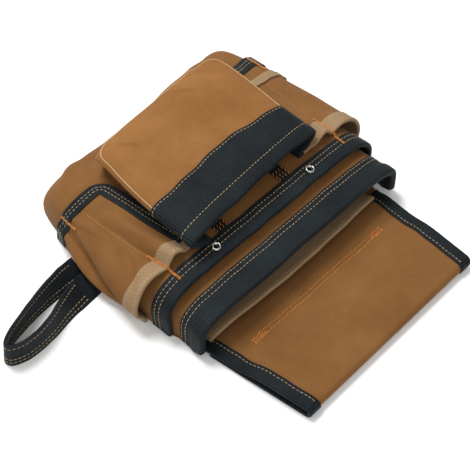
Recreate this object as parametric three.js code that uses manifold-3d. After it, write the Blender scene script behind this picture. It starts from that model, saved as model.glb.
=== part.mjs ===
// A carpenter's nail pouch lying on its back, with its belt tunnel laid out flat towards -Y.
// Millimetres. X runs across the pouch, Y from the belt fold to the closed bottom, Z up from the
// surface it lies on. The last lines move the whole pouch so that its bounding box stands centred
// on the origin.
import * as THREE from "three";
import { mergeVertices } from "three/addons/utils/BufferGeometryUtils.js";
import Module from "manifold-3d";

const wasm = await Module();
wasm.setup();

// Cloth thicknesses, the gap left between sewn layers and the slack between two whole cloths
const CANVAS = 1.5;
const WEBBING = 0.9;
const TAPE = 0.8;
const GAP = 0.3;
const LOOSE = 1;

// Sizes of the pouch
const BODY_LENGTH = 340;
const BODY_HALF_WIDTH = 146;
const BODY_HEIGHT = 50;
const SEAM_MARGIN = 7;
const MOUTH_Y = 106;
const FLAP_FOLD_WIDTH = 215;
const FLAP_MOUTH_WIDTH = 237;
const BELT_SEAM_Y = 84;
const BELT_SEAM_WIDTH = 168;
const BELT_SEAM_DEPTH = 7;
const BELT_CLEARANCE = 4.4;
const TUNNEL_RAMP = 34;
const FLAP_STEP = 26;
const SHOULDER_LENGTH = 45;

// Visible width of each folded webbing and tape on one face
const MAIN_BAND = 26;
const MID_BAND = 19;
const BINDING = 12.7;
const SLOT_TAPE = 15;
const POCKET_BAND = 47;

// Where the pockets in front of the main one begin, and how far their mouths stand off
const MID_MOUTH_Y = 0.413 * BODY_LENGTH;
const MID_GAPE = 6;
const SLOT_MOUTH_Y = 0.488 * BODY_LENGTH;
const SLOT_END_Y = 0.82 * BODY_LENGTH;
const SLOT_FLARE = 16;
const SLOT_GAPE = 11;
const INNER_SLOT_SHARE = 0.85;
const SLOT_DIVIDE = 0.58;
const SLOT_CLOSE = 0.83;
const SLOT_INNER = 0.82;

// Front pocket
const POCKET_WIDTH = 184;
const POCKET_CENTRE_X = 4;
const POCKET_MOUTH_Y = 0.479 * BODY_LENGTH;
const POCKET_LENGTH = 0.406 * BODY_LENGTH;
const POCKET_RISE = 30;
const POCKET_TUCK = 0.3;
const POCKET_SLANT = 6;

// Inner pocket, hammer loop and rivets
const INNER_WIDTH = 216;
const INNER_MOUTH_Y = 109;
const INNER_LENGTH = 120;
const INNER_RISE = 11;
const LOOP_WEBBING_WIDTH = 25;
const LOOP_REACH = 93;
const LOOP_ROOT_X = 140;
const LOOP_ROOT_Y = 0.688 * BODY_LENGTH;
const SLOT_BULGE = 2;
const RIVET_RADIUS = 4.5;
const RIVET_HEIGHT = 2.4;
const RIVET_SPACING = 120;
const RIVET_OFFSET_X = 2;
const TAB_WIDTH = 12;
const TAB_LENGTH = 20;
const TAB_SPACING = 80;

// Surface finish of each material
const canvas = { color: 0xa9743f, roughness: 0.85, metalness: 0 };
const webbing = { color: 0x1c2429, roughness: 0.6, metalness: 0 };
const tape = { color: 0xb89c74, roughness: 0.8, metalness: 0 };
const nickel = { color: 0xc9c6c0, roughness: 0.3, metalness: 1 };

// Plan and height of the main pocket's cloth. "along" is the share of the way from the belt fold to
// the end of the cloth; y is a share of BODY_LENGTH, left and right are shares of BODY_HALF_WIDTH,
// top is a share of BODY_HEIGHT; square is the squareness of the arch; slant is the share of
// BODY_LENGTH by which the right side lies further along than the left.
const BODY = [
  { along: 0.25, y: 0.285, left: -0.84, right: 0.86, top: 0.72, square: 5.5, slant: 0 },
  { along: 0.3, y: 0.312, left: -0.86, right: 0.89, top: 0.76, square: 5.5, slant: 0 },
  { along: 0.38, y: 0.39, left: -0.86, right: 0.92, top: 0.8, square: 4.8, slant: 0 },
  { along: 0.44, y: 0.45, left: -0.87, right: 0.94, top: 0.83, square: 4, slant: 0 },
  { along: 0.52, y: 0.53, left: -0.88, right: 0.96, top: 0.9, square: 3.4, slant: 0.002 },
  { along: 0.62, y: 0.63, left: -0.89, right: 0.99, top: 0.97, square: 3.1, slant: 0.006 },
  { along: 0.72, y: 0.735, left: -0.87, right: 1, top: 1, square: 3.1, slant: 0.012 },
  { along: 0.82, y: 0.84, left: -0.82, right: 1, top: 0.98, square: 3.5, slant: 0.02 },
  { along: 0.9, y: 0.925, left: -0.75, right: 0.98, top: 0.88, square: 4, slant: 0.028 },
  { along: 0.95, y: 0.968, left: -0.71, right: 0.96, top: 0.66, square: 4.2, slant: 0.03 },
  { along: 0.98, y: 0.984, left: -0.69, right: 0.94, top: 0.34, square: 4, slant: 0.03 },
  { along: 1, y: 0.987, left: -0.68, right: 0.93, top: 0.08, square: 3, slant: 0.03 },
];

// Height of the front pocket over the body, along its own length: left and right are shares of half
// of POCKET_WIDTH, rise is a share of POCKET_RISE, y is a share of POCKET_LENGTH.
const POCKET = [
  { along: -0.05, y: -0.05, left: -1, right: 1, rise: 0.62, square: 3.6 },
  { along: 0, y: 0, left: -1, right: 1, rise: 0.66, square: 3.6 },
  { along: 0.25, y: 0.25, left: -0.99, right: 0.99, rise: 0.84, square: 3.2 },
  { along: 0.55, y: 0.55, left: -0.96, right: 1, rise: 1, square: 3 },
  { along: 0.8, y: 0.84, left: -0.87, right: 1.02, rise: 0.98, square: 3.2 },
  { along: 0.89, y: 0.94, left: -0.82, right: 1.02, rise: 0.82, square: 3.4 },
  { along: 0.96, y: 0.985, left: -0.78, right: 1.01, rise: 0.45, square: 3.2 },
  { along: 1, y: 1, left: -0.76, right: 1, rise: 0.08, square: 2.6 },
];

// Inner pocket on the back panel: shares of half of INNER_WIDTH, INNER_RISE and INNER_LENGTH.
const INNER = [
  { along: -0.05, y: -0.05, left: -1, right: 1, rise: 1, square: 3 },
  { along: 0, y: 0, left: -1, right: 1, rise: 1, square: 3 },
  { along: 0.4, y: 0.4, left: -0.98, right: 0.98, rise: 0.62, square: 2.6 },
  { along: 0.8, y: 0.8, left: -0.96, right: 0.96, rise: 0.3, square: 2.4 },
  { along: 1, y: 1, left: -0.94, right: 0.94, rise: 0.12, square: 2.2 },
];

// Middle line of the hammer loop in plan and the lean of its webbing: x is a share of LOOP_REACH
// outwards, y and z shares of the webbing's width, lean in degrees from flat.
const LOOP = [
  { turn: 0, x: -0.2, y: 0.62, z: 0.56, lean: 80 },
  { turn: 0.14, x: 0.1, y: 0.54, z: 0.56, lean: 80 },
  { turn: 0.26, x: 0.4, y: 0.36, z: 0.6, lean: 80 },
  { turn: 0.38, x: 0.7, y: 0.1, z: 0.6, lean: 80 },
  { turn: 0.46, x: 0.9, y: -0.16, z: 0.58, lean: 76 },
  { turn: 0.5, x: 1, y: -0.42, z: 0.54, lean: 66 },
  { turn: 0.54, x: 0.97, y: -0.7, z: 0.46, lean: 52 },
  { turn: 0.6, x: 0.84, y: -0.84, z: 0.4, lean: 40 },
  { turn: 0.7, x: 0.6, y: -0.8, z: 0.33, lean: 31 },
  { turn: 0.82, x: 0.3, y: -0.58, z: 0.32, lean: 30 },
  { turn: 0.91, x: 0.1, y: -0.42, z: 0.34, lean: 32 },
  { turn: 1, x: -0.2, y: -0.24, z: 0.38, lean: 36 },
];

// Stack at the flap's bound edge: webbing, canvas, webbing
const STACK = CANVAS + 2 * GAP + 2 * WEBBING;
const LIFT = WEBBING + GAP;
const TUNNEL_TOP = LIFT + CANVAS + GAP + WEBBING + BELT_CLEARANCE + WEBBING + GAP + CANVAS;
const BOUND_END_Y = MOUTH_Y - TAPE - 3 * WEBBING;
const PANEL_FLAT_Y = BOUND_END_Y + BINDING + 3 * TUNNEL_TOP / 4;
const PANEL_END_Y = BODY[BODY.length - 1].y * BODY_LENGTH;

// Smooth value of one column of a table at a given value of its key column.
function column(rows, key, name, at) {
  let i = 0;
  while (i < rows.length - 2 && at > rows[i + 1][key]) i++;
  const slope = (k) => {
    const a = rows[Math.max(k - 1, 0)];
    const b = rows[Math.min(k + 1, rows.length - 1)];
    return (b[name] - a[name]) / (b[key] - a[key]);
  };
  const h = rows[i + 1][key] - rows[i][key];
  const t = (at - rows[i][key]) / h;
  if (t < 0) return rows[i][name] + slope(i) * (at - rows[i][key]);
  if (t > 1) return rows[i + 1][name] + slope(i + 1) * (at - rows[i + 1][key]);
  const t2 = t * t;
  const t3 = t2 * t;
  return (
    (2 * t3 - 3 * t2 + 1) * rows[i][name] +
    (t3 - 2 * t2 + t) * h * slope(i) +
    (3 * t2 - 2 * t3) * rows[i + 1][name] +
    (t3 - t2) * h * slope(i + 1)
  );
}

const smooth = (a, b, x) => THREE.MathUtils.smoothstep((x - a) / (b - a), 0, 1);
const steps = (a, b, n) => Array.from({ length: n + 1 }, (_, i) => a + ((b - a) * i) / n);

// Upper face of the folded belt flap and back panel, at the distance y from the fold.
function panelTop(y) {
  const sewn = LIFT + STACK + CANVAS;
  const flat = BELT_SEAM_Y - BELT_SEAM_DEPTH;
  const open = smooth(flat, flat - TUNNEL_RAMP, y);
  const bound = smooth(PANEL_FLAT_Y, PANEL_FLAT_Y - FLAP_STEP, y);
  return THREE.MathUtils.lerp(CANVAS, THREE.MathUtils.lerp(sewn, TUNNEL_TOP, open), bound);
}

// An arch of cloth over a table: across runs from -1 at its left foot to 1 at its right foot by
// share of the arc, along by share of the cloth, off is the distance outwards from the cloth. Its
// feet stand at footLeft and footRight, and tuck draws them in under the arch by a share of its
// half width.
function arch(shape) {
  const section = (along) => {
    const { left, right, footLeft, footRight, top, square, tuck = 0, y, slant = 0 } = shape(along);
    const centre = (left + right) / 2;
    const half = (right - left) / 2;
    const footAt = (x) =>
      THREE.MathUtils.lerp(footLeft, footRight, THREE.MathUtils.clamp((x - left) / (2 * half), 0, 1));
    const line = steps(0, 1, 96).map((s) => {
      const turn = Math.PI * (1 - s);
      const c = Math.cos(turn);
      const high = Math.sin(turn) ** (2 / square);
      const x = Math.sign(c) * Math.abs(c) ** (2 / square) * (1 - tuck * (1 - high) ** 2);
      const foot = footAt(centre + half * x);
      return new THREE.Vector3(centre + half * x, y + slant * x, foot + (top - foot) * high);
    });
    const arc = [0];
    for (let i = 1; i < line.length; i++) arc.push(arc[i - 1] + line[i].distanceTo(line[i - 1]));
    return { line, arc, footAt };
  };
  const cache = new Map();
  const at = (across, along) => {
    const key = along.toFixed(6);
    if (!cache.has(key)) cache.set(key, section(along));
    const { line, arc, footAt } = cache.get(key);
    const target = ((across + 1) / 2) * arc[arc.length - 1];
    let i = 0;
    while (i < arc.length - 2 && target > arc[i + 1]) i++;
    const p = line[i].clone().lerp(line[i + 1], (target - arc[i]) / (arc[i + 1] - arc[i]));
    return { p, footAt };
  };
  return (across, along, off = 0) => {
    const { p, footAt } = at(across, along);
    const du = at(Math.min(across + 0.01, 1), along).p.sub(at(Math.max(across - 0.01, -1), along).p);
    const dv = at(across, along + 0.004).p.sub(at(across, along - 0.004).p);
    const out = du.cross(dv);
    if (Math.abs(across) > 0.999) out.z = 0;
    p.addScaledVector(out.normalize(), off);
    p.z = Math.max(p.z, footAt(p.x));
    return p;
  };
}

const body = arch((along) => {
  const get = (name) => column(BODY, "along", name, along);
  const y = get("y") * BODY_LENGTH;
  const foot = panelTop(y) + GAP;
  return {
    y,
    left: get("left") * BODY_HALF_WIDTH,
    right: get("right") * BODY_HALF_WIDTH,
    footLeft: foot,
    footRight: foot,
    top: Math.max(get("top") * BODY_HEIGHT, foot + 2 * LOOSE),
    square: get("square"),
    slant: get("slant") * BODY_LENGTH,
  };
});

// Share of the body's cloth at a distance y from the fold, and back.
const bodyAlong = (y) => column(BODY, "y", "along", y / BODY_LENGTH);

// Share across the body's arch at which its upper face passes x.
function bodyAcross(x, along) {
  let low = -1;
  let high = 1;
  for (let i = 0; i < 30; i++) {
    const mid = (low + high) / 2;
    if (body(mid, along).x < x) low = mid;
    else high = mid;
  }
  return (low + high) / 2;
}

// How far the middle pocket's outer face stands off the main pocket's outer face.
const midOff = (across, along) => {
  const open = smooth(0.75, 0.44, along);
  const middle = smooth(1, 0.72, Math.abs(across));
  return LOOSE + CANVAS + (WEBBING + GAP) * smooth(0.6, 0.5, along) + MID_GAPE * open ** 2 * middle;
};

// A closed solid swept through stations: place(station, point) puts each corner of the closed
// outline loop, given as [along, off] pairs. Each four-cornered face is split from its lower along
// to its higher one, or the other way when turned, so that a cloth and its hem split alike.
function sweep(stations, loop, place, turned = false) {
  const rings = stations.map((s) => loop.map((corner) => place(s, corner)));
  const n = loop.length;
  const positions = rings.flat().flatMap((p) => [p.x, p.y, p.z]);
  const index = [];
  for (let i = 0; i < rings.length - 1; i++)
    for (let j = 0; j < n; j++) {
      const k = (j + 1) % n;
      const a = i * n + j;
      const b = i * n + k;
      if (loop[j][0] <= loop[k][0] === turned) index.push(a, b, a + n, b, b + n, a + n);
      else index.push(a, b, b + n, a, b + n, a + n);
    }
  const last = (rings.length - 1) * n;
  for (const [a, b, c] of capFaces(loop)) index.push(a, c, b, last + a, last + b, last + c);
  return solid(positions, index);
}

// Triangles over the end of a swept outline, turning the way the outline does: a strip where each
// corner has its partner at the same distance along on the other face, else cut by ear clipping.
function capFaces(loop) {
  const n = loop.length;
  if (loop.every(([s], j) => s === loop[n - 1 - j][0]))
    return loop.slice(0, n / 2 - 1).flatMap((_, j) => [
      [j, j + 1, n - 2 - j],
      [j, n - 2 - j, n - 1 - j],
    ]);
  const outline = loop.map(([x, y]) => new THREE.Vector2(x, y));
  const clockwise = THREE.ShapeUtils.isClockWise(outline);
  return THREE.ShapeUtils.triangulateShape(outline, []).map(([a, b, c]) =>
    clockwise ? [a, c, b] : [a, b, c],
  );
}

// A manifold body from plain arrays, turned inside out when its faces point inwards.
function solid(positions, index) {
  const make = (triVerts) => {
    const mesh = new wasm.Mesh({ numProp: 3, vertProperties: new Float32Array(positions), triVerts });
    mesh.merge();
    return new wasm.Manifold(mesh);
  };
  const made = make(new Uint32Array(index));
  if (made.volume() > 0) return made;
  const flipped = [];
  for (let i = 0; i < index.length; i += 3) flipped.push(index[i], index[i + 2], index[i + 1]);
  return make(new Uint32Array(flipped));
}

// The same from one of three.js's closed geometries.
function fromGeometry(geometry) {
  geometry.deleteAttribute("normal");
  geometry.deleteAttribute("uv");
  const merged = mergeVertices(geometry, 1e-3);
  return solid([...merged.attributes.position.array], [...merged.index.array]);
}

// Outline of one layer of cloth of the given thickness through a list of distances along it.
const layer = (run, thick) => [
  ...run.map((s) => [s, 0]),
  ...run.toReversed().map((s) => [s, -thick]),
];

// Outline of a webbing folded over the edge of a cloth: the edge lies at 0 and the cloth runs to
// +along, from off 0 down to -cloth. The webbing covers width on both faces.
const folded = (width, cloth, thick, count) => {
  const outer = GAP + thick;
  const middle = -cloth / 2;
  const half = cloth / 2 + outer;
  const bend = steps(60, -60, 2).map((deg) => {
    const a = THREE.MathUtils.degToRad(deg);
    return [-outer * Math.cos(a), middle + half * Math.sin(a)];
  });
  return [
    ...steps(width, 0, count).map((s) => [s, outer]),
    ...bend,
    ...steps(0, width, count).map((s) => [s, -cloth - outer]),
    ...steps(width, 0, count).slice(0, -1).map((s) => [s, -cloth - GAP]),
    [-1.6 * GAP, -cloth - GAP],
    [-1.6 * GAP, GAP],
    ...steps(0, width, count).slice(1).map((s) => [s, GAP]),
  ];
};

const pouch = new THREE.Group();

function add(name, made, finish) {
  const { vertProperties, triVerts } = made.getMesh();
  const geometry = new THREE.BufferGeometry();
  geometry.setAttribute("position", new THREE.BufferAttribute(new Float32Array(vertProperties), 3));
  geometry.setIndex(new THREE.BufferAttribute(new Uint32Array(triVerts), 1));
  geometry.computeVertexNormals();
  const mesh = new THREE.Mesh(geometry, new THREE.MeshStandardMaterial(finish));
  mesh.name = name;
  pouch.add(mesh);
}

// Belt flap and back panel: one sheet, folded at Y = 0 and sewn to itself along the belt seam.
const foldRadius = (TUNNEL_TOP - LIFT) / 2;
const foldZ = LIFT + foldRadius;
const flapRun = steps(foldRadius, BOUND_END_Y, 10);
const lowerRun = flapRun.slice(0, -1);
const backRun = [
  ...steps(BOUND_END_Y, PANEL_FLAT_Y, 5).slice(1),
  ...steps(PANEL_FLAT_Y, PANEL_END_Y, 12).slice(1),
];
const foldTurns = steps(90, 270, 6).slice(1, -1).map(THREE.MathUtils.degToRad);
const foldArc = (radius) =>
  foldTurns.map((a) => [foldRadius + radius * Math.cos(a), foldZ + radius * Math.sin(a)]);
const flapHalf = (y) =>
  THREE.MathUtils.lerp(FLAP_FOLD_WIDTH, FLAP_MOUTH_WIDTH, Math.min(Math.max(y, 0) / MOUTH_Y, 1)) / 2;
const panelEdge = (y, side) => {
  const sign = side === "left" ? -1 : 1;
  const wide = column(BODY, "y", side, y / BODY_LENGTH) * BODY_HALF_WIDTH + sign * SEAM_MARGIN;
  return THREE.MathUtils.lerp(sign * flapHalf(y), wide, smooth(MOUTH_Y, MOUTH_Y + SHOULDER_LENGTH, y));
};
const panelSlant = (y) =>
  smooth(MOUTH_Y, MOUTH_Y + SHOULDER_LENGTH, y) * column(BODY, "y", "slant", y / BODY_LENGTH) * BODY_LENGTH;
const upperRun = [...flapRun, ...backRun];
const panelLoop = [
  ...upperRun.toReversed().map((y) => [y, panelTop(y)]),
  ...foldArc(foldRadius),
  ...lowerRun.map((y) => [y, LIFT]),
  ...lowerRun.toReversed().map((y) => [y, LIFT + CANVAS]),
  ...foldArc(foldRadius - CANVAS).toReversed(),
  ...upperRun.map((y) => [y, panelTop(y) - CANVAS]),
];
const panel = sweep(steps(-1, 1, 2), panelLoop, (s, [y, z]) => {
  const left = panelEdge(y, "left");
  const right = panelEdge(y, "right");
  return new THREE.Vector3(left + ((s + 1) / 2) * (right - left), y + s * panelSlant(y), z);
});
const seamHeight = STACK - CANVAS + 1;
const seamBox = new THREE.BoxGeometry(BELT_SEAM_WIDTH, BELT_SEAM_DEPTH, seamHeight);
seamBox.translate(0, BELT_SEAM_Y, LIFT + CANVAS + (STACK - CANVAS) / 2);
add("back_panel", panel.add(fromGeometry(seamBox)), canvas);

// Bindings folded over the flap's two side edges, following the sheet round the fold.
const bindingPath = [
  ...flapRun.toReversed().map((y) => ({ y, z: panelTop(y), out: [0, 1] })),
  ...foldTurns.map((a) => {
    const out = [Math.cos(a), Math.sin(a)];
    return { y: foldRadius + foldRadius * out[0], z: foldZ + foldRadius * out[1], out };
  }),
  ...lowerRun.map((y) => ({ y, z: LIFT, out: [0, -1] })),
];
for (const [side, sign] of [
  ["left", -1],
  ["right", 1],
]) {
  const made = sweep(bindingPath, folded(BINDING, CANVAS, WEBBING, 1), (s, [inwards, off]) => {
    const x = sign * (flapHalf(s.y) - inwards);
    return new THREE.Vector3(x, s.y + s.out[0] * off, s.z + s.out[1] * off);
  });
  add("flap_binding_" + side, made, webbing);
}

// Main pocket: one arch of canvas from mouth to closed bottom, its mouth bound with wide webbing.
const perMm = 1 / BODY_LENGTH;
const wide = steps(-1, 1, 26);
const alongMouth = bodyAlong(MOUTH_Y);
const bodyRun = [0.4, 0.44, 0.5, 0.57, 0.64, 0.71, 0.78, 0.84, 0.89, 0.925, 0.95, 0.975, 1];
const runFrom = (along, width, count) => [
  ...steps(along, along + width * perMm, count),
  ...bodyRun.filter((s) => s > along + (width + 4 * LOOSE) * perMm),
];
add(
  "main_pocket",
  sweep(wide, layer(runFrom(alongMouth, MAIN_BAND, 2), CANVAS), (u, [s, off]) => body(u, s, off)),
  canvas,
);
add(
  "main_mouth_band",
  sweep(wide, folded(MAIN_BAND, CANVAS, WEBBING, 2), (u, [s, off]) =>
    body(u, alongMouth + s * perMm, off),
  ),
  webbing,
);

// Middle pocket, over the whole width of the main one.
const alongMid = bodyAlong(MID_MOUTH_Y);
const mid = (u, s, off) => body(u, s, midOff(u, s) + off);
add(
  "middle_pocket",
  sweep(wide, layer(runFrom(alongMid, MID_BAND, 1), CANVAS), (u, [s, off]) => mid(u, s, off)),
  canvas,
);
add(
  "middle_mouth_band",
  sweep(wide, folded(MID_BAND, CANVAS, WEBBING, 1), (u, [s, off]) => mid(u, alongMid + s * perMm, off)),
  webbing,
);

// Tool slots: a panel of canvas on each side of the front pocket, sewn down along one line in the
// middle, so that it makes two slots. Its mouth has a tape, its bottom and inner edge a binding.
const alongSlot = bodyAlong(SLOT_MOUTH_Y);
const alongSlotEnd = bodyAlong(SLOT_END_Y);
const slotRun = [
  ...steps(alongSlot, alongSlot + SLOT_TAPE * perMm, 1),
  ...steps(alongSlot + SLOT_TAPE * perMm, alongSlotEnd - BINDING * perMm, 6).slice(1),
  alongSlotEnd,
];
for (const [side, sign] of [
  ["left", -1],
  ["right", 1],
]) {
  const innerX = POCKET_CENTRE_X + (sign * SLOT_INNER * POCKET_WIDTH) / 2;
  const across = (w, s) => THREE.MathUtils.lerp(sign, bodyAcross(innerX, s), w);
  const gape = (w, s) => {
    const slot = w < SLOT_DIVIDE ? w / SLOT_DIVIDE : (w - SLOT_DIVIDE) / (SLOT_CLOSE - SLOT_DIVIDE);
    const size = w < SLOT_DIVIDE ? SLOT_GAPE : SLOT_GAPE * INNER_SLOT_SHARE;
    const bulge = Math.max(Math.sin(Math.PI * Math.min(slot, 1)), 0) ** 1.5;
    return size * bulge * smooth(alongSlotEnd, alongSlot, s);
  };
  const place = (w, along, off) => {
    const share = (along - alongSlot) / (alongSlotEnd - alongSlot);
    const s = along + (1 - w) * share * SLOT_FLARE * perMm;
    const u = across(w, s);
    return body(u, s, midOff(u, s) + LOOSE + WEBBING + GAP + CANVAS + gape(w, along) + off);
  };
  const width = steps(0, 1, 20)
    .map((w) => place(w, alongSlotEnd, 0))
    .reduce((sum, p, i, line) => sum + (i ? p.distanceTo(line[i - 1]) : 0), 0);
  const inner = 1 - BINDING / width;
  const stations = [...steps(0, SLOT_DIVIDE, 6), ...steps(SLOT_DIVIDE, inner, 4).slice(1), 1];
  const cloth = sweep(stations, layer(slotRun, CANVAS), (w, [s, off]) => place(w, s, off));
  add("tool_slots_" + side, cloth, canvas);
  const hem = sweep(stations, folded(SLOT_TAPE, CANVAS, TAPE, 1), (w, [s, off]) =>
    place(w, alongSlot + s * perMm, off),
  );
  add("slot_tape_" + side, hem, tape);
  const bound = folded(BINDING, CANVAS, WEBBING, 1);
  const bottom = sweep(stations, bound, (w, [s, off]) => place(w, alongSlotEnd - s * perMm, off), true);
  const edge = sweep(
    slotRun.slice(2),
    bound,
    (s, [inwards, off]) => place(1 - inwards / width, s, off),
    true,
  );
  add("slot_binding_" + side, bottom.add(edge), webbing);
}

// Front pocket: a soft box of canvas on the middle pocket, its feet tucked in under its sides.
const pocketRoot = (x, y) => mid(bodyAcross(x, bodyAlong(y)), bodyAlong(y), 0).z + 4 * GAP;
const pocket = arch((along) => {
  const get = (name) => column(POCKET, "along", name, along);
  const y = POCKET_MOUTH_Y + get("y") * POCKET_LENGTH;
  const left = POCKET_CENTRE_X + (get("left") * POCKET_WIDTH) / 2;
  const right = POCKET_CENTRE_X + (get("right") * POCKET_WIDTH) / 2;
  const footLeft = pocketRoot(THREE.MathUtils.lerp(left, right, POCKET_TUCK / 2), y);
  const footRight = pocketRoot(THREE.MathUtils.lerp(right, left, POCKET_TUCK / 2), y);
  const crown = pocketRoot((left + right) / 2, y);
  return {
    y,
    left,
    right,
    footLeft,
    footRight,
    top: crown + get("rise") * POCKET_RISE,
    square: get("square"),
    tuck: POCKET_TUCK,
    slant: POCKET_SLANT,
  };
});
const pocketStations = steps(-1, 1, 26);
const pocketRun = [0, 0.5, 1].map((share) => (share * POCKET_BAND) / POCKET_LENGTH);
pocketRun.push(...[0.48, 0.6, 0.72, 0.82, 0.89, 0.94, 0.975, 1]);
add(
  "front_pocket",
  sweep(pocketStations, layer(pocketRun, CANVAS), (u, [s, off]) => pocket(u, s, off)),
  canvas,
);
add(
  "front_pocket_band",
  sweep(pocketStations, folded(POCKET_BAND, CANVAS, WEBBING, 2), (u, [s, off]) =>
    pocket(u, s / POCKET_LENGTH, off),
  ),
  webbing,
);

// Inner pocket: a flat pocket on the back panel inside the main one, its mouth taped.
const innerPocket = arch((along) => {
  const get = (name) => column(INNER, "along", name, along);
  const y = INNER_MOUTH_Y + get("y") * INNER_LENGTH;
  const foot = panelTop(y) + 2 * GAP;
  return {
    y,
    left: (get("left") * INNER_WIDTH) / 2,
    right: (get("right") * INNER_WIDTH) / 2,
    footLeft: foot,
    footRight: foot,
    top: foot + CANVAS + get("rise") * INNER_RISE,
    square: get("square"),
  };
});
const innerStations = steps(-1, 1, 12);
const innerRun = [0, SLOT_TAPE / INNER_LENGTH, 0.4, 0.7, 1];
add(
  "inner_pocket",
  sweep(innerStations, layer(innerRun, CANVAS), (u, [s, off]) => innerPocket(u, s, off)),
  canvas,
);
add(
  "inner_tape",
  sweep(innerStations, folded(SLOT_TAPE, CANVAS, TAPE, 1), (u, [s, off]) =>
    innerPocket(u, s / INNER_LENGTH, off),
  ),
  tape,
);

// Two short tabs of webbing on the middle pocket, from its mouth band to under the front pocket, and
// two rivets through the mouth band beside them.
const bandTop = alongMid + (MID_BAND + CANVAS) * perMm;
for (const [side, sign] of [
  ["left", -1],
  ["right", 1],
]) {
  const x = (sign * TAB_SPACING) / 2;
  const tab = sweep(
    steps(bandTop, bandTop + TAB_LENGTH * perMm, 2),
    [
      [-0.5, GAP],
      [0.5, GAP],
      [0.5, GAP + 2 * WEBBING],
      [-0.5, GAP + 2 * WEBBING],
    ],
    (s, [share, off]) => mid(bodyAcross(x + share * TAB_WIDTH, s), s, off + GAP),
  );
  add("tab_" + side, tab, webbing);

  const s = alongMid + MID_BAND * 0.5 * perMm;
  const u = bodyAcross((sign * RIVET_SPACING) / 2 + RIVET_OFFSET_X, s);
  const seat = mid(u, s, 2 * GAP + WEBBING);
  const axis = mid(u, s, 10).sub(seat).normalize();
  const turn = new THREE.Quaternion().setFromUnitVectors(new THREE.Vector3(0, 1, 0), axis);
  const profile = [
    [0, GAP],
    [RIVET_RADIUS, GAP],
    [RIVET_RADIUS, RIVET_HEIGHT * 0.38],
    [RIVET_RADIUS * 0.86, RIVET_HEIGHT * 0.7],
    [RIVET_RADIUS * 0.5, RIVET_HEIGHT * 0.92],
    [0, RIVET_HEIGHT],
  ].map(([r, z]) => new THREE.Vector2(r, z));
  const dome = new THREE.LatheGeometry(profile, 12);
  dome.applyQuaternion(turn);
  dome.translate(seat.x, seat.y, seat.z);
  add("rivet_" + side, fromGeometry(dome), nickel);
}

// Hammer loop: doubled webbing standing on its edge, its two ends sewn into the left side seam,
// where they are cut off just outside the tool slots' bulge.
const loopTurns = steps(0, 1, 26);
const loopPath = loopTurns.map((t) => {
  const get = (name) => column(LOOP, "turn", name, t);
  const lean = THREE.MathUtils.degToRad(get("lean"));
  const centre = new THREE.Vector3(
    -LOOP_ROOT_X - get("x") * LOOP_REACH,
    LOOP_ROOT_Y + get("y") * LOOP_WEBBING_WIDTH,
    get("z") * LOOP_WEBBING_WIDTH,
  );
  return { centre, lean };
});
const loopThick = 2 * WEBBING + 2 * GAP;
const loop = sweep(
  loopTurns.map((_, i) => i),
  [
    [-0.5, -0.5],
    [0.5, -0.5],
    [0.5, 0.5],
    [-0.5, 0.5],
  ],
  (i, [wide, thick]) => {
    const { centre, lean } = loopPath[i];
    const next = loopPath[Math.min(i + 1, loopPath.length - 1)].centre;
    const before = loopPath[Math.max(i - 1, 0)].centre;
    const ahead = next.clone().sub(before).setZ(0).normalize();
    const inwards = new THREE.Vector3(-ahead.y, ahead.x, 0);
    const up = inwards.clone().multiplyScalar(Math.cos(lean)).setZ(Math.sin(lean));
    const out = new THREE.Vector3().crossVectors(ahead, up);
    const p = centre.clone().addScaledVector(up, wide * LOOP_WEBBING_WIDTH);
    p.addScaledVector(out, thick * loopThick);
    p.z = Math.max(p.z, 0);
    return p;
  },
);
const side = steps(0.5, 0.85, 7).map((s) => {
  const p = body(-1, s, midOff(-1, s) + LOOSE + WEBBING + GAP + CANVAS + SLOT_BULGE + GAP);
  return [p.x, p.y];
});
const cutter = sweep(
  [-BODY_HEIGHT, BODY_HEIGHT],
  [...side, [0, side[side.length - 1][1]], [0, side[0][1]]],
  (z, [x, y]) => new THREE.Vector3(x, y, z),
);
add("hammer_loop", loop.subtract(cutter), webbing);

// Bounding box of everything, stood centred on the origin.
const box = new THREE.Box3().setFromObject(pouch);
pouch.position.set(-(box.min.x + box.max.x) / 2, -(box.min.y + box.max.y) / 2, -box.min.z);
const group = new THREE.Group();
group.name = "nail_pouch";
group.add(pouch);

export default group;
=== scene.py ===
# %% [markdown]
# # A carpenter's nail pouch
# The pouch is sewn from brown duck canvas and bound with black webbing. It lies on its back with
# the belt tunnel laid out flat towards the viewer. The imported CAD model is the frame: every piece
# here is cloth laid over the same named sizes, so nothing has to be fitted afterwards.

# %% Load the frame
import math

import bmesh
import bpy
import numpy as np
from mathutils import Matrix, Vector


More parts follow.
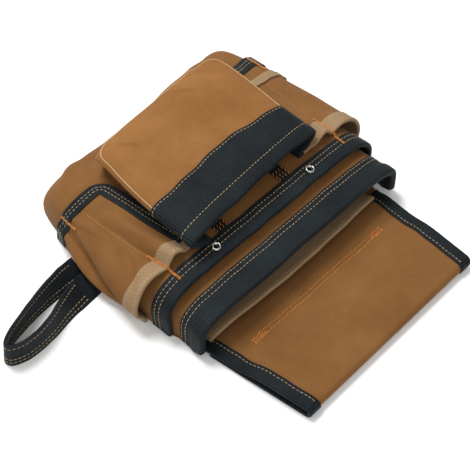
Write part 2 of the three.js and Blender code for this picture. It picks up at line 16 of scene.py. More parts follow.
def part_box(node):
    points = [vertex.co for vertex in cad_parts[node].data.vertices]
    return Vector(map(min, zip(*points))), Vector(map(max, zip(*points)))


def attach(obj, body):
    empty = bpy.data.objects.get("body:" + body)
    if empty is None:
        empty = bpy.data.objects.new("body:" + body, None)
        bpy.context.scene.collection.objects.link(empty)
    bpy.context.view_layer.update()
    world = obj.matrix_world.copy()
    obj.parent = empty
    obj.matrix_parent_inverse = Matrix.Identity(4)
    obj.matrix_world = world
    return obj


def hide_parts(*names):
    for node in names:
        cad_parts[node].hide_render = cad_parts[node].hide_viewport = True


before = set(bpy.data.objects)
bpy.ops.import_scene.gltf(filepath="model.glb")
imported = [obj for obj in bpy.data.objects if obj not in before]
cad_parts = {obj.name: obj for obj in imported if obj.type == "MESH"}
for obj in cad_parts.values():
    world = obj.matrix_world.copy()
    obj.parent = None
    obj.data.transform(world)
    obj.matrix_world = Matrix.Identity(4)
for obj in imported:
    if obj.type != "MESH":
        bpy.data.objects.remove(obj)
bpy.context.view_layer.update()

# %% [markdown]
# ## The pouch's own millimetres
# A pattern cutter thinks in millimetres on the flat. X runs across the pouch from the middle of the
# belt flap, Y from the belt fold to the closed bottom, and Z up. The origin could be typed in, but
# three nodes of the CAD model already say where it lies, so it is read from their boxes.

# %% The pouch's own origin
MM = 0.001
flap_left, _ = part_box("flap_binding_left")
_, flap_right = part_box("flap_binding_right")
belt_fold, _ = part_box("back_panel")
ORIGIN = np.array([(flap_left.x + flap_right.x) / 2, belt_fold.y, 0.0])


def to_frame(points):
    """Points in the pouch's millimetres, as metres in the frame."""
    return points * MM + ORIGIN


print("pouch origin in the frame:", ORIGIN.round(4))

# %% [markdown]
# ## Sizes
# These are the CAD model's own named sizes, in millimetres: thicknesses of cloth, then the plan, the
# belt tunnel, the widths of bindings, the slots, the pockets, the loop, the rivets and the tabs. A
# share such as 0.413 places a mouth along the body. Where the photo asks for a softer fit than the
# solids have, the size is a millimetre or two off the CAD's.

# %% Sizes of cloth, webbing and pockets
CANVAS, WEBBING, TAPE, GAP, LOOSE = 1.5, 0.9, 0.8, 0.3, 1.0
BODY_LENGTH, BODY_HALF_WIDTH, BODY_HEIGHT = 340, 146, 50
SEAM_MARGIN, SHOULDER_LENGTH = 2.5, 45
MOUTH_Y = 106
FLAP_FOLD_WIDTH, FLAP_MOUTH_WIDTH, FLAP_SHIFT = 213.5, 235.5, 0.75
BELT_SEAM_Y, BELT_SEAM_WIDTH, BELT_SEAM_DEPTH = 84, 168, 7
BELT_CLEARANCE, TUNNEL_RAMP, FLAP_STEP = 4.4, 34, 26
MAIN_BAND, MID_BAND, BINDING, SLOT_TAPE, POCKET_BAND = 26, 19, 12.7, 15, 47
MID_MOUTH_Y, MID_GAPE = 0.413 * BODY_LENGTH, 6
SLOT_MOUTH_Y, SLOT_END_Y = 0.488 * BODY_LENGTH, 0.82 * BODY_LENGTH
SLOT_FLARE, SLOT_GAPE, INNER_SLOT_SHARE = 16, 11, 0.85
SLOT_DIVIDE, SLOT_CLOSE, SLOT_CORNER = 0.58, 0.83, 14
SLOT_INNER, SLOT_INNER_MOUTH = 0.82, 0.73
POCKET_WIDTH, POCKET_CENTRE_X = 184, 4
POCKET_MOUTH_Y, POCKET_LENGTH = 0.479 * BODY_LENGTH, 0.406 * BODY_LENGTH
POCKET_RISE, POCKET_TUCK, POCKET_SLANT = 30, 0.3, 6
INNER_WIDTH, INNER_MOUTH_Y, INNER_LENGTH, INNER_RISE = 216, 109, 120, 11
INNER_BOW = 7
LOOP_WEBBING_WIDTH, LOOP_REACH, LOOP_ROOT_X, LOOP_ROOT_Y = 25, 93, 140, 0.688 * BODY_LENGTH
RIVET_RADIUS, RIVET_HEIGHT, RIVET_SPACING, RIVET_OFFSET_X = 4.5, 2.4, 120, 2
TAB_WIDTH, TAB_LENGTH, TAB_SPACING = 12, 20, 80

# A bound edge is webbing, canvas, webbing; LIFT is how far it holds the sheet off the table.
STACK = CANVAS + 2 * GAP + 2 * WEBBING
LIFT = WEBBING + GAP
TUNNEL_TOP = LIFT + 2 * CANVAS + 2 * GAP + 2 * WEBBING + BELT_CLEARANCE
BOUND_END_Y = MOUTH_Y - TAPE - 3 * WEBBING
PANEL_FLAT_Y = BOUND_END_Y + BINDING + 3 * TUNNEL_TOP / 4
PER_MM = 1 / BODY_LENGTH
print("body", BODY_LENGTH, "by", 2 * BODY_HALF_WIDTH, "by", BODY_HEIGHT, "mm, bound edge", STACK)

# %% [markdown]
# ## Tables of the soft shapes
# A soft bag has no radius to measure, so each form is a short table: one row for each section where
# the shape changes, one named column for each property. Curve objects could do the same, but a table
# can be read and changed like a pattern. A cubic through each column fills in between the rows.

# %% Tables and their smooth columns
def table(names, *rows):
    """Named columns of numbers, a row for each section."""
    return dict(zip(names.split(), np.array(rows, float).T))


def column(rows, key, name, at):
    """Smooth value of one column at values of the key column, straight on beyond both ends."""
    keys, values, at = rows[key], rows[name], np.asarray(at, float)
    last = len(keys) - 1
    before, after = np.maximum(np.arange(last + 1) - 1, 0), np.minimum(np.arange(last + 1) + 1, last)
    slopes = (values[after] - values[before]) / (keys[after] - keys[before])
    i = np.clip(np.searchsorted(keys, at) - 1, 0, last - 1)
    width = keys[i + 1] - keys[i]
    t = (at - keys[i]) / width
    curve = (
        (2 * t**3 - 3 * t**2 + 1) * values[i]
        + (t**3 - 2 * t**2 + t) * width * slopes[i]
        + (3 * t**2 - 2 * t**3) * values[i + 1]
        + (t**3 - t**2) * width * slopes[i + 1]
    )
    low = values[i] + slopes[i] * (at - keys[i])
    high = values[i + 1] + slopes[i + 1] * (at - keys[i + 1])
    return np.where(t < 0, low, np.where(t > 1, high, curve))


rounded_step = table("at value", (0, 0), (1, 10), (2, 10))
print("a quarter of the way up a step of 10:", column(rounded_step, "at", "value", 0.25).round(2))

# %% [markdown]
# ## The pouch's tables
# "along" is the share of the way down the cloth from the belt fold. Then come the place and height of
# each section as shares of the sizes above, left and right apart, because the pouch lies a little
# askew. "square" turns the arch from a tent at 2 to a box at 8, and "slant" pushes its right side
# further along. The hammer loop's table goes round the loop in turns, with the lean of the webbing
# in degrees from flat.

# %% Body, front pocket, inner pocket and hammer loop
BODY = table(
    "along y left right top square slant",
    (0.25, 0.285, -0.83, 0.872, 0.72, 7.5, 0),
    (0.3, 0.312, -0.835, 0.892, 0.76, 7, 0),
    (0.38, 0.39, -0.83, 0.905, 0.8, 5.8, 0),
    (0.44, 0.45, -0.835, 0.925, 0.83, 4.6, 0),
    (0.52, 0.53, -0.838, 0.95, 0.9, 3.6, 0.002),
    (0.62, 0.63, -0.85, 0.99, 0.97, 3.4, 0.006),
    (0.72, 0.735, -0.83, 1.01, 1, 3.5, 0.012),
    (0.82, 0.838, -0.775, 1.005, 0.965, 4.2, 0.019),
    (0.9, 0.915, -0.74, 0.985, 0.86, 5, 0.023),
    (0.95, 0.957, -0.71, 0.97, 0.64, 5.4, 0.024),
    (0.98, 0.974, -0.69, 0.955, 0.34, 4.8, 0.024),
    (1, 0.979, -0.675, 0.945, 0.08, 3, 0.024),
)
POCKET = table(
    "along y left right rise square",
    (-0.05, -0.05, -0.97, 1, 0.62, 4.4),
    (0, 0, -0.97, 1, 0.66, 4.4),
    (0.25, 0.25, -0.96, 0.99, 0.84, 4.8),
    (0.55, 0.56, -0.93, 1, 0.98, 5.2),
    (0.8, 0.83, -0.865, 1.02, 1, 5.4),
    (0.88, 0.912, -0.84, 1.02, 0.94, 5.4),
    (0.93, 0.945, -0.81, 1.01, 0.76, 5),
    (0.97, 0.952, -0.76, 0.985, 0.4, 4.4),
    (1, 0.945, -0.71, 0.93, 0.08, 4),
)
INNER = table(
    "along y left right rise square",
    (-0.05, -0.05, -1, 1, 1, 3),
    (0, 0, -1, 1, 1, 3),
    (0.4, 0.4, -0.98, 0.98, 0.62, 2.6),
    (0.8, 0.8, -0.96, 0.96, 0.3, 2.4),
    (1, 1, -0.94, 0.94, 0.12, 2.2),
)
LOOP = table(
    "turn x y z lean",
    (0, -0.2, 0.52, 0.16, 150),
    (0.14, 0.1, 0.46, 0.32, 122),
    (0.26, 0.4, 0.3, 0.45, 100),
    (0.38, 0.7, 0.05, 0.5, 88),
    (0.46, 0.92, -0.2, 0.52, 84),
    (0.5, 1.03, -0.47, 0.53, 84),
    (0.54, 1.01, -0.74, 0.52, 86),
    (0.6, 0.86, -0.92, 0.5, 86),
    (0.7, 0.6, -0.86, 0.48, 82),
    (0.82, 0.3, -0.55, 0.42, 66),
    (0.91, 0.1, -0.36, 0.3, 42),
    (1, -0.2, -0.14, 0.16, 22),
)
print("sections:", len(BODY["y"]), "body,", len(POCKET["y"]), "pocket,", len(LOOP["turn"]), "loop")

# %% [markdown]
# ## Folds and dents
# Canvas that has been sewn, turned and packed keeps soft dents and creases. Each is a long low
# swelling on the cloth: a place, a length and a breadth in millimetres, a turn and a height, which
# is negative for a dent. They are added to the surface itself, so a binding or a stitch that lies
# over a dent follows it.

# %% Folds
def lerp(a, b, t):
    """The value at the share t of the way from a to b."""
    return a + (b - a) * t


def smooth(a, b, x):
    """0 before a, 1 after b and a soft step between them, in either direction."""
    t = np.clip((x - a) / (b - a), 0, 1)
    return t * t * (3 - 2 * t)


def folds(rows, across_mm, along_mm):
    """Height of all folds of a table over the cloth at across and along, both in shares."""

    def height(across, along):
        total = 0.0
        for x, y, length, breadth, turn, rise in zip(*(rows[k] for k in rows)):
            dx, dy = (across - x) * across_mm, (along - y) * along_mm
            c, s = math.cos(math.radians(turn)), math.sin(math.radians(turn))
            along_it, across_it = c * dx + s * dy, c * dy - s * dx
            total = total + rise * np.exp(-((along_it / length) ** 2) - (across_it / breadth) ** 2)
        return total

    return height


print("soft step at a quarter of its way:", smooth(0, 1, 0.25).round(3))

# %% [markdown]
# ## This pouch's folds
# The closed end sags in the middle, one corner is pinched, and the front pocket's face has two sharp
# creases at its far corners with broad slack between them. Each row was matched to the photo.

# %% Tables of folds
BODY_FOLDS = table(
    "across along length breadth turn rise",
    (0.0, 0.97, 75, 20, 0, -5),
    (-0.66, 0.92, 26, 6, 40, 3),
    (-0.45, 0.9, 26, 9, 30, -3),
    (0.3, 0.94, 30, 8, -12, 1.6),
    (0.66, 0.86, 34, 12, 84, -2.5),
    (-0.86, 0.6, 40, 8, 86, 1.5),
    (0.88, 0.6, 44, 9, 90, 1.2),
    (0.4, 0.8, 50, 6, 60, 1.8),
    (0.02, 0.375, 60, 7, 2, -0.8),
)
POCKET_FOLDS = table(
    "across along length breadth turn rise",
    (-0.46, 0.75, 14, 1.8, -50, 2.4),
    (-0.42, 0.71, 16, 7, -50, 1.2),
    (0.2, 0.8, 16, 2, -36, 2.4),
    (0.2, 0.75, 20, 7, -36, 1.4),
    (-0.1, 0.66, 30, 7, -45, 1.8),
    (0.1, 0.6, 26, 9, -20, -1.8),
    (0.42, 0.86, 13, 5, 80, 1.8),
    (0.5, 0.66, 40, 14, 84, -2.2),
    (-0.1, 0.6, 50, 10, 50, 1.4),
    (-0.3, 0.5, 46, 12, 60, -1.4),
    (-0.52, 0.4, 40, 14, 80, -1.8),
    (0.3, 0.45, 34, 13, -50, -1.4),
)
BODY_HALF_CLOTH, POCKET_HALF_CLOTH = 190, 120
body_folds = folds(BODY_FOLDS, BODY_HALF_CLOTH, BODY_LENGTH)
pocket_folds = folds(POCKET_FOLDS, POCKET_HALF_CLOTH, POCKET_LENGTH)
print("folds:", len(BODY_FOLDS["rise"]) + len(POCKET_FOLDS["rise"]))

# %% [markdown]
# ## Cloth arches
# Each pocket is an arch of cloth that stands with its two side seams on the layer below. A cloth
# simulation would give other folds with every change, so the section is drawn as a superellipse. The
# arch is worked out once on a fine grid, spaced evenly by the length of the cloth, and then looked
# up. That gives points and normals for every band, stitch and rivet that lies on it.

# %% The arch
GRID_ACROSS, GRID_ALONG = 481, 361


def look_up(grid, row, col):
    """Values of a grid between its points, by share of its rows and columns."""
    r = np.clip(row, 0, 1) * (grid.shape[0] - 1)
    c = np.clip(col, 0, 1) * (grid.shape[1] - 1)
    i, j = np.minimum(r.astype(int), grid.shape[0] - 2), np.minimum(c.astype(int), grid.shape[1] - 2)
    a, b = (r - i)[..., None], (c - j)[..., None]
    return (grid[i, j] * (1 - b) + grid[i, j + 1] * b) * (1 - a) + (
        grid[i + 1, j] * (1 - b) + grid[i + 1, j + 1] * b
    ) * a


def unit(vectors):
    """Vectors at length one."""
    return vectors / np.maximum(np.linalg.norm(vectors, axis=-1, keepdims=True), 1e-9)


def grid_normals(points):
    """Outward normals of a grid of points with rows along the cloth and columns across it."""
    return unit(np.cross(np.gradient(points, axis=1), np.gradient(points, axis=0)))


def arch(shape, low, high, wrinkle=None):
    """Surface over a table: across runs from -1 to 1 over the cloth, along from low to high."""
    along = np.linspace(low, high, GRID_ALONG)
    s = {name: np.broadcast_to(value, along.shape)[:, None] for name, value in shape(along).items()}
    turn = np.pi * (1 - np.linspace(0, 1, 2 * GRID_ACROSS))[None, :]
    c, power = np.cos(turn), 2 / s["square"]
    rise = np.abs(np.sin(turn)) ** power
    x = np.sign(c) * np.abs(c) ** power * (1 - s.get("tuck", 0) * (1 - rise) ** 2)
    foot = lerp(s["foot_left"], s["foot_right"], np.clip((x + 1) / 2, 0, 1))
    centre, half = (s["left"] + s["right"]) / 2, (s["right"] - s["left"]) / 2
    line = np.stack([centre + half * x, s["y"] + s["slant"] * x, foot + (s["top"] - foot) * rise], -1)
    points = np.empty((GRID_ALONG, GRID_ACROSS, 3))
    for i, section in enumerate(line):
        step = np.linalg.norm(np.diff(section, axis=0), axis=1)
        arc = np.concatenate([[0], np.cumsum(step)]) / step.sum()
        for axis in range(3):
            points[i, :, axis] = np.interp(np.linspace(0, 1, GRID_ACROSS), arc, section[:, axis])
    if wrinkle is not None:
        u, v = np.meshgrid(np.linspace(-1, 1, GRID_ACROSS), along)
        points += grid_normals(points) * (wrinkle(u, v) * smooth(1, 0.9, np.abs(u)))[..., None]
    normals = grid_normals(points)
    feet = {name: s[name][:, 0] for name in ("left", "right", "foot_left", "foot_right")}

    def surface(across, along_at, off=0.0):
        across, at, off = np.broadcast_arrays(across, along_at, off)
        row, col = (at - low) / (high - low), (across + 1) / 2
        p, n = look_up(points, row, col), look_up(normals, row, col)
        n[..., 2] = np.where(np.abs(across) > 0.999, 0, n[..., 2])
        p = p + unit(n) * off[..., None]
        edge = {name: np.interp(at, along, values) for name, values in feet.items()}
        share = np.clip((p[..., 0] - edge["left"]) / (edge["right"] - edge["left"]), 0, 1)
        p[..., 2] = np.maximum(p[..., 2], lerp(edge["foot_left"], edge["foot_right"], share))
        return p

    return surface


print("each arch is worked out at", GRID_ACROSS, "by", GRID_ALONG, "points")

# %% [markdown]
# ## The layers, from the table up
# The back panel and belt flap lie flat. The main pocket arches over them, the middle pocket lies on
# the main one with its mouth gaping a little, and the front pocket stands on the middle one with its
# side seams tucked in under it.

# %% Back panel height
def panel_top(y):
    """Height of the back panel's upper face, which the sewn belt flap lies over near the fold."""
    sewn = LIFT + STACK + CANVAS
    flat = BELT_SEAM_Y - BELT_SEAM_DEPTH
    opened = smooth(flat, flat - TUNNEL_RAMP, y)
    bound = smooth(PANEL_FLAT_Y, PANEL_FLAT_Y - FLAP_STEP, y)
    return lerp(CANVAS, lerp(sewn, TUNNEL_TOP, opened), bound)


print("panel height over the belt tunnel:", round(float(panel_top(20)), 2), "mm")

# %% [markdown]
# ### Main pocket
# The largest arch takes its whole shape from the body's table. Its seams stand on the back panel.
# Other pieces have to be placed on it by their x, so a search finds the share of the arch there.

# %% Main pocket surface
def body_shape(along):
    """Sections of the body's arch, in millimetres."""
    get = {name: column(BODY, "along", name, along) for name in BODY}
    foot = panel_top(get["y"] * BODY_LENGTH) + GAP
    return {
        "y": get["y"] * BODY_LENGTH,
        "left": get["left"] * BODY_HALF_WIDTH,
        "right": get["right"] * BODY_HALF_WIDTH,
        "foot_left": foot,
        "foot_right": foot,
        "top": np.maximum(get["top"] * BODY_HEIGHT, foot + 2 * LOOSE),
        "square": get["square"],
        "slant": get["slant"] * BODY_LENGTH,
    }


def body_along(y):
    """Share along the body's cloth at a distance y from the belt fold."""
    return column(BODY, "y", "along", np.asarray(y, float) / BODY_LENGTH)


along_mouth = float(body_along(MOUTH_Y))
along_mid = float(body_along(MID_MOUTH_Y))
body = arch(body_shape, along_mouth - 0.03, 1.0, body_folds)


def body_across(x, along):
    """Share across the body's arch at which its upper face passes x."""
    x, along = np.broadcast_arrays(np.asarray(x, float), along)
    low, high = -np.ones(x.shape), np.ones(x.shape)
    for _ in range(26):
        middle = (low + high) / 2
        left_of = body(middle, along)[..., 0] < x
        low, high = np.where(left_of, middle, low), np.where(left_of, high, middle)
    return (low + high) / 2


print("main mouth at", round(along_mouth, 3), "of the cloth, middle mouth at", round(along_mid, 3))

# %% [markdown]
# ### Middle pocket
# The second layer is the same arch a little further out. It stands off more in the middle of its
# mouth, where the real one gapes, and over the edge of the main pocket's webbing.

# %% Middle pocket surface
def mid_off(across, along):
    """How far the middle pocket's outer face stands off the main one's."""
    opened = smooth(0.75, 0.44, along)
    middle = smooth(1, 0.72, np.abs(across))
    band = (WEBBING + GAP) * smooth(0.6, 0.5, along)
    return LOOSE + CANVAS + band + MID_GAPE * opened**2 * middle


def mid(across, along, off=0.0):
    """The middle pocket's outer face."""
    return body(across, along, mid_off(across, along) + off)


print("middle pocket's crown:", mid(0.0, along_mid).round(1), "mm")

# %% [markdown]
# ### Front pocket
# The boxed pocket is an arch of its own. Its feet follow the middle pocket below, and they tuck in
# under its face, because the side walls are sewn in narrower than the face is cut.

# %% Front pocket surface
def pocket_root(x, y):
    """Height at which the front pocket stands on the middle one."""
    along = body_along(y)
    return mid(body_across(x, along), along)[..., 2] + 4 * GAP


def pocket_shape(along):
    """Sections of the front pocket's arch, in millimetres."""
    get = {name: column(POCKET, "along", name, along) for name in POCKET}
    y = POCKET_MOUTH_Y + get["y"] * POCKET_LENGTH
    left = POCKET_CENTRE_X + get["left"] * POCKET_WIDTH / 2
    right = POCKET_CENTRE_X + get["right"] * POCKET_WIDTH / 2
    return {
        "y": y,
        "left": left,
        "right": right,
        "foot_left": pocket_root(lerp(left, right, POCKET_TUCK / 2), y),
        "foot_right": pocket_root(lerp(right, left, POCKET_TUCK / 2), y),
        "top": pocket_root((left + right) / 2, y) + get["rise"] * POCKET_RISE,
        "square": get["square"],
        "tuck": POCKET_TUCK,
        "slant": POCKET_SLANT,
    }


pocket = arch(pocket_shape, -0.04, 1.0, pocket_folds)
print("front pocket's crown:", pocket(0.0, 0.6).round(1), "mm")

# %% [markdown]
# ### Inner pocket
# The flat pocket inside hardly rises from the back panel. Nothing holds its mouth up in the middle,
# so the edge bows towards the viewer between its seams.

# %% Inner pocket surface
def inner_shape(along):
    """Sections of the inner pocket's arch, in millimetres."""
    get = {name: column(INNER, "along", name, along) for name in INNER}
    y = INNER_MOUTH_Y + get["y"] * INNER_LENGTH
    foot = panel_top(y) + 2 * GAP
    return {
        "y": y,
        "left": get["left"] * INNER_WIDTH / 2,
        "right": get["right"] * INNER_WIDTH / 2,
        "foot_left": foot,
        "foot_right": foot,
        "top": foot + CANVAS + get["rise"] * INNER_RISE,
        "square": get["square"],
        "slant": 0.0,
    }


flat_inner = arch(inner_shape, -0.04, 1.0)


def inner(u, along, off=0.0):
    """The inner pocket with its mouth bowed forwards by the cloth's own weight."""
    points = flat_inner(u, along, off)
    points[..., 1] -= INNER_BOW * (1 - u**2) * smooth(0.6, 0, along)
    return points


print("inner pocket's mouth:", inner(0.0, 0.0).round(1), "mm")

# %% [markdown]
# ## Finishes
# Colour comes from sRGB hex values, turned to linear light by one function. One small function adds
# a node. The cloth patterns read each piece's own uv map, which is in metres of cloth, so a thread
# count in millimetres is right on every piece.

# %% Colour and node helpers
def linear(code, alpha=1.0):
    """Linear colour from an sRGB hex value."""
    parts = [int(code[i : i + 2], 16) / 255 for i in (0, 2, 4)]
    return [c / 12.92 if c <= 0.04045 else ((c + 0.055) / 1.055) ** 2.4 for c in parts] + [alpha]


def node(tree, kind, inputs=None, **settings):
    """Adds a node with its settings; each input gets a value or a link from a socket."""
    made = tree.nodes.new(kind)
    for name, value in settings.items():
        setattr(made, name, value)
    for key, value in (inputs or {}).items():
        if isinstance(value, bpy.types.NodeSocket):
            tree.links.new(value, made.inputs[key])
        else:
            made.inputs[key].default_value = value
    return made


def new_material(name):
    """A material with an empty node tree."""
    made = bpy.data.materials.new(name)
    made.use_nodes = True
    made.node_tree.nodes.clear()
    return made, made.node_tree


print("mid grey in linear light:", round(linear("808080")[0], 3))

# %% [markdown]
# ### Woven cloth
# Duck canvas is a plain weave of thick cotton yarn: each yarn is a small ridge that dives under the
# next, which gives a matt surface with a fine grid. A soft sheen on the yarn crests and the shade in
# the gaps between them are painted into the colour. The dye takes unevenly, so the colour wanders
# over a few centimetres. An image could show it, but two crossed waves in the cloth's own uv map stay
# sharp at any distance. The yarns are about 0.6 mm apart, too fine for the render, so they are drawn
# at 1.6 by 1.5 mm.

# %% Yarns, dye clouds and light specks
def yarn_grid(tree, warp_mm, weft_mm):
    """Two crossed waves in the cloth's uv map, one wave to a drawn yarn, high where a yarn rises."""
    uv = node(tree, "ShaderNodeUVMap", uv_map="cloth").outputs[0]
    waves = []
    for axis, spacing in (("X", warp_mm), ("Y", weft_mm)):
        # a wave texture at scale 1 repeats every 2 pi / 20, so this scale gives one wave a yarn
        scale = 2 * math.pi / (20 * spacing * MM)
        wave = {"Vector": uv, "Scale": scale, "Distortion": 0.7, "Detail": 2, "Detail Scale": 0.6}
        waves.append(node(tree, "ShaderNodeTexWave", wave, bands_direction=axis).outputs["Fac"])
    return node(tree, "ShaderNodeMath", {0: waves[0], 1: waves[1]}, operation="MULTIPLY").outputs[0]


def dye_clouds_and_light_specks(tree):
    """Clouds of dye about 45 mm across, and specks of 2.4 mm that break up the painted highlight on
    yarn crests.
    """
    place = node(tree, "ShaderNodeTexCoord").outputs["Object"]
    cloudy = {"Vector": place, "Scale": 22, "Detail": 5, "Roughness": 0.6}
    cloud = node(tree, "ShaderNodeTexNoise", cloudy).outputs["Fac"]
    light_speck = node(tree, "ShaderNodeTexNoise", {"Vector": place, "Scale": 420, "Detail": 3})
    return cloud, light_speck.outputs["Fac"]


print("scale of a wave for 1.6 mm yarns:", round(2 * math.pi / (20 * 1.6 * MM), 1))

# %% [markdown]
# ### The finish
# The colour is built up in three steps: the dye wanders from the base to the light colour, the gaps
# between yarns get a painted shade, and the tops of single yarns get a painted highlight in specks.
# The same grid lifts the surface by a few tenths of a millimetre, and the clouds give a soft
# unevenness on top of it.

# %% Woven cloth
def woven(name, colours, warp_mm, weft_mm, bump_mm, roughness, gloss, contrast, crest_light_amount):
    """A woven finish: colours as hex, yarn spacings in millimetres of cloth."""
    made, tree = new_material(name)
    base, light, dark = (linear(colour) for colour in colours)
    grid = yarn_grid(tree, warp_mm, weft_mm)
    cloud, light_speck = dye_clouds_and_light_specks(tree)
    wander = {"Value": cloud, "From Min": 0.3, "From Max": 0.75, "To Max": 0.5}
    tone = node(tree, "ShaderNodeMapRange", wander).outputs[0]
    # painted shade: the gaps between yarns are darkened towards the third colour
    valley = {"Value": grid, "From Min": 0.0, "From Max": 0.4, "To Min": contrast, "To Max": 0.0}
    shade = node(tree, "ShaderNodeMapRange", valley).outputs[0]
    # painted highlight: yarn crests, in random specks, are lightened towards the light colour
    crest_specks = node(tree, "ShaderNodeMath", {0: grid, 1: light_speck}, operation="MULTIPLY").outputs[0]
    crest_light_range = {"Value": crest_specks, "From Min": 0.2, "From Max": 0.55, "To Max": crest_light_amount}
    painted_crest_light = node(tree, "ShaderNodeMapRange", crest_light_range).outputs[0]
    faded = node(tree, "ShaderNodeMix", {0: tone, 6: base, 7: light}, data_type="RGBA").outputs[2]
    yarn_gaps_shaded = node(tree, "ShaderNodeMix", {0: shade, 6: faded, 7: dark}, data_type="RGBA").outputs[2]
    with_crest_light = node(tree, "ShaderNodeMix", {0: painted_crest_light, 6: yarn_gaps_shaded, 7: light}, data_type="RGBA").outputs[2]
    rough = {"Value": tone, "To Min": roughness + 0.06, "To Max": roughness - 0.06}
    raised = {"Height": grid, "Strength": 0.55, "Distance": bump_mm * MM}
    relief = node(tree, "ShaderNodeBump", raised).outputs[0]
    soft = {"Height": cloud, "Strength": 0.35, "Distance": 2.5 * MM, "Normal": relief}
    shader = node(
        tree,
        "ShaderNodeBsdfPrincipled",
        {
            "Base Color": with_crest_light,
            "Roughness": node(tree, "ShaderNodeMapRange", rough).outputs[0],
            "Normal": node(tree, "ShaderNodeBump", soft).outputs[0],
            "Sheen Weight": 0.03,
            "Sheen Roughness": 0.45,
            "Specular IOR Level": gloss,
        },
    )
    node(tree, "ShaderNodeOutputMaterial", {"Surface": shader.outputs[0]})
    return made

# %% [markdown]
# ### Cotton cloths
# All four are cotton, which is matt, so the roughness is 0.85 and the gloss is low. The front pocket's
# canvas is a paler copy of the same canvas, painted light for its face, which catches more of the
# lamp. The welt and the tape are twill, woven finer; the tape is undyed, and the welt's pale colour is
# a painted highlight along the pocket's edge. The three colours are the dyed yarn, the paler yarn,
# which also gives the painted highlight on yarn crests, and the painted shade between yarns.

# %% Canvas, welt and tape
# the third colour of each cloth is the painted shade between yarns
canvas_colours = ("754D26", "9A6E40", "4B3117")
# painted light: a paler copy of the canvas colours for the front pocket's face, which catches more
# light
lit_pocket_colours = ("83562B", "AE7D49", "543719")
# the welt's pale colours are a painted highlight along the front pocket's edge
welt_highlight_colours = ("A98659", "CFAE82", "7C6342")
tape_colours = ("8C7153", "AE9470", "5E4A34")
cotton = {"roughness": 0.85, "gloss": 0.15}
duck = {"warp_mm": 1.6, "weft_mm": 1.5, "bump_mm": 0.3, "contrast": 0.42, "crest_light_amount": 0.4, **cotton}
fine = {"warp_mm": 1.3, "weft_mm": 1.3, "bump_mm": 0.2, "contrast": 0.3, "crest_light_amount": 0.5, **cotton}
twill = {"warp_mm": 1.3, "weft_mm": 1.7, "bump_mm": 0.3, "contrast": 0.4, "crest_light_amount": 0.5, **cotton}
duck_canvas = woven("brown duck canvas", canvas_colours, **duck)
lit_pocket_canvas = woven("duck canvas painted lighter", lit_pocket_colours, **duck)
welt_painted_highlight = woven("cotton welt painted as highlight", welt_highlight_colours, **fine)
cotton_tape = woven("beige cotton tape", tape_colours, **twill)
print("cotton cloths:", duck_canvas.name, lit_pocket_canvas.name, welt_painted_highlight.name, cotton_tape.name)

# %% [markdown]
# ### Webbing
# Webbing is woven from smooth filament yarn in heavy ribs across its width, so it has a faint blue
# shine that canvas lacks; that shine is painted as bluish highlight specks on the rib crests, with
# painted shade between the ribs. Its ribs are about 1.1 mm apart. That is still too fine for the
# render, so they are drawn at 1.9 by 1.7 mm, deeper and with more contrast than canvas.

# %% Black webbing
webbing_colours = ("0B1013", "333E44", "010203")
# the light colour gives dye clouds and the painted highlight on rib crests, the darkest the painted
# shade between ribs
ribbed = {"warp_mm": 1.9, "weft_mm": 1.7, "bump_mm": 0.5, "contrast": 0.8, "crest_light_amount": 0.7}
black_webbing = woven("black filament webbing", webbing_colours, roughness=0.62, gloss=0.12, **ribbed)
print("webbing:", black_webbing.name)

# %% [markdown]
# ### Thread
# Sewing thread is the same filament, twisted and bonded with resin, so it shines more than cloth. One
# stitch is too small for a pattern of its own. The colour changes slowly along the seam instead, over
# about 4 mm, as where the twist turns in the light.

# %% Bonded thread
def thread(name, base, light):
    """Bonded sewing thread, with a slow change of colour along the seam."""
    made, tree = new_material(name)
    place = node(tree, "ShaderNodeTexCoord").outputs["Object"]
    cloud = node(tree, "ShaderNodeTexNoise", {"Vector": place, "Scale": 260, "Detail": 2})
    colour = {0: cloud.outputs["Fac"], 6: linear(base), 7: linear(light)}
    mixed = node(tree, "ShaderNodeMix", colour, data_type="RGBA").outputs[2]
    relief = node(
        tree,
        "ShaderNodeBump",
        {"Height": cloud.outputs["Fac"], "Strength": 0.4, "Distance": 0.2 * MM},
    )
    shader = node(
        tree,
        "ShaderNodeBsdfPrincipled",
        {"Base Color": mixed, "Roughness": 0.5, "Normal": relief.outputs[0]},
    )
    node(tree, "ShaderNodeOutputMaterial", {"Surface": shader.outputs[0]})
    return made


cream_thread = thread("cream bonded thread", "8F7148", "CDB587")
orange_thread = thread("orange bonded thread", "A25C1C", "DC8B38")
tan_thread = thread("tan bonded thread", "8F5E2E", "AE773F")
print("threads:", cream_thread.name, orange_thread.name, tan_thread.name)

# %% [markdown]
# ### Nickel
# The rivets are stamped steel caps with bright nickel plating, so the finish is fully metallic. Fine
# scuffs about 1 mm apart blur the mirror in patches. The sunk middle of each cap looks dark, because
# it reflects only its own walls; that dark reflection is painted into the colour where an attribute
# of the mesh marks the hollow.

# %% Nickel plating
nickel_plate, tree = new_material("nickel plated steel")
place = node(tree, "ShaderNodeTexCoord").outputs["Object"]
scuff = node(tree, "ShaderNodeTexNoise", {"Vector": place, "Scale": 900, "Detail": 4}).outputs["Fac"]
blur = node(tree, "ShaderNodeMapRange", {"Value": scuff, "To Min": 0.12, "To Max": 0.38}).outputs[0]
tint = {0: scuff, 6: linear("8A8986"), 7: linear("D9D7D2")}
plate = node(tree, "ShaderNodeMix", tint, data_type="RGBA").outputs[2]
hollow = node(tree, "ShaderNodeAttribute", attribute_name="hollow").outputs["Fac"]
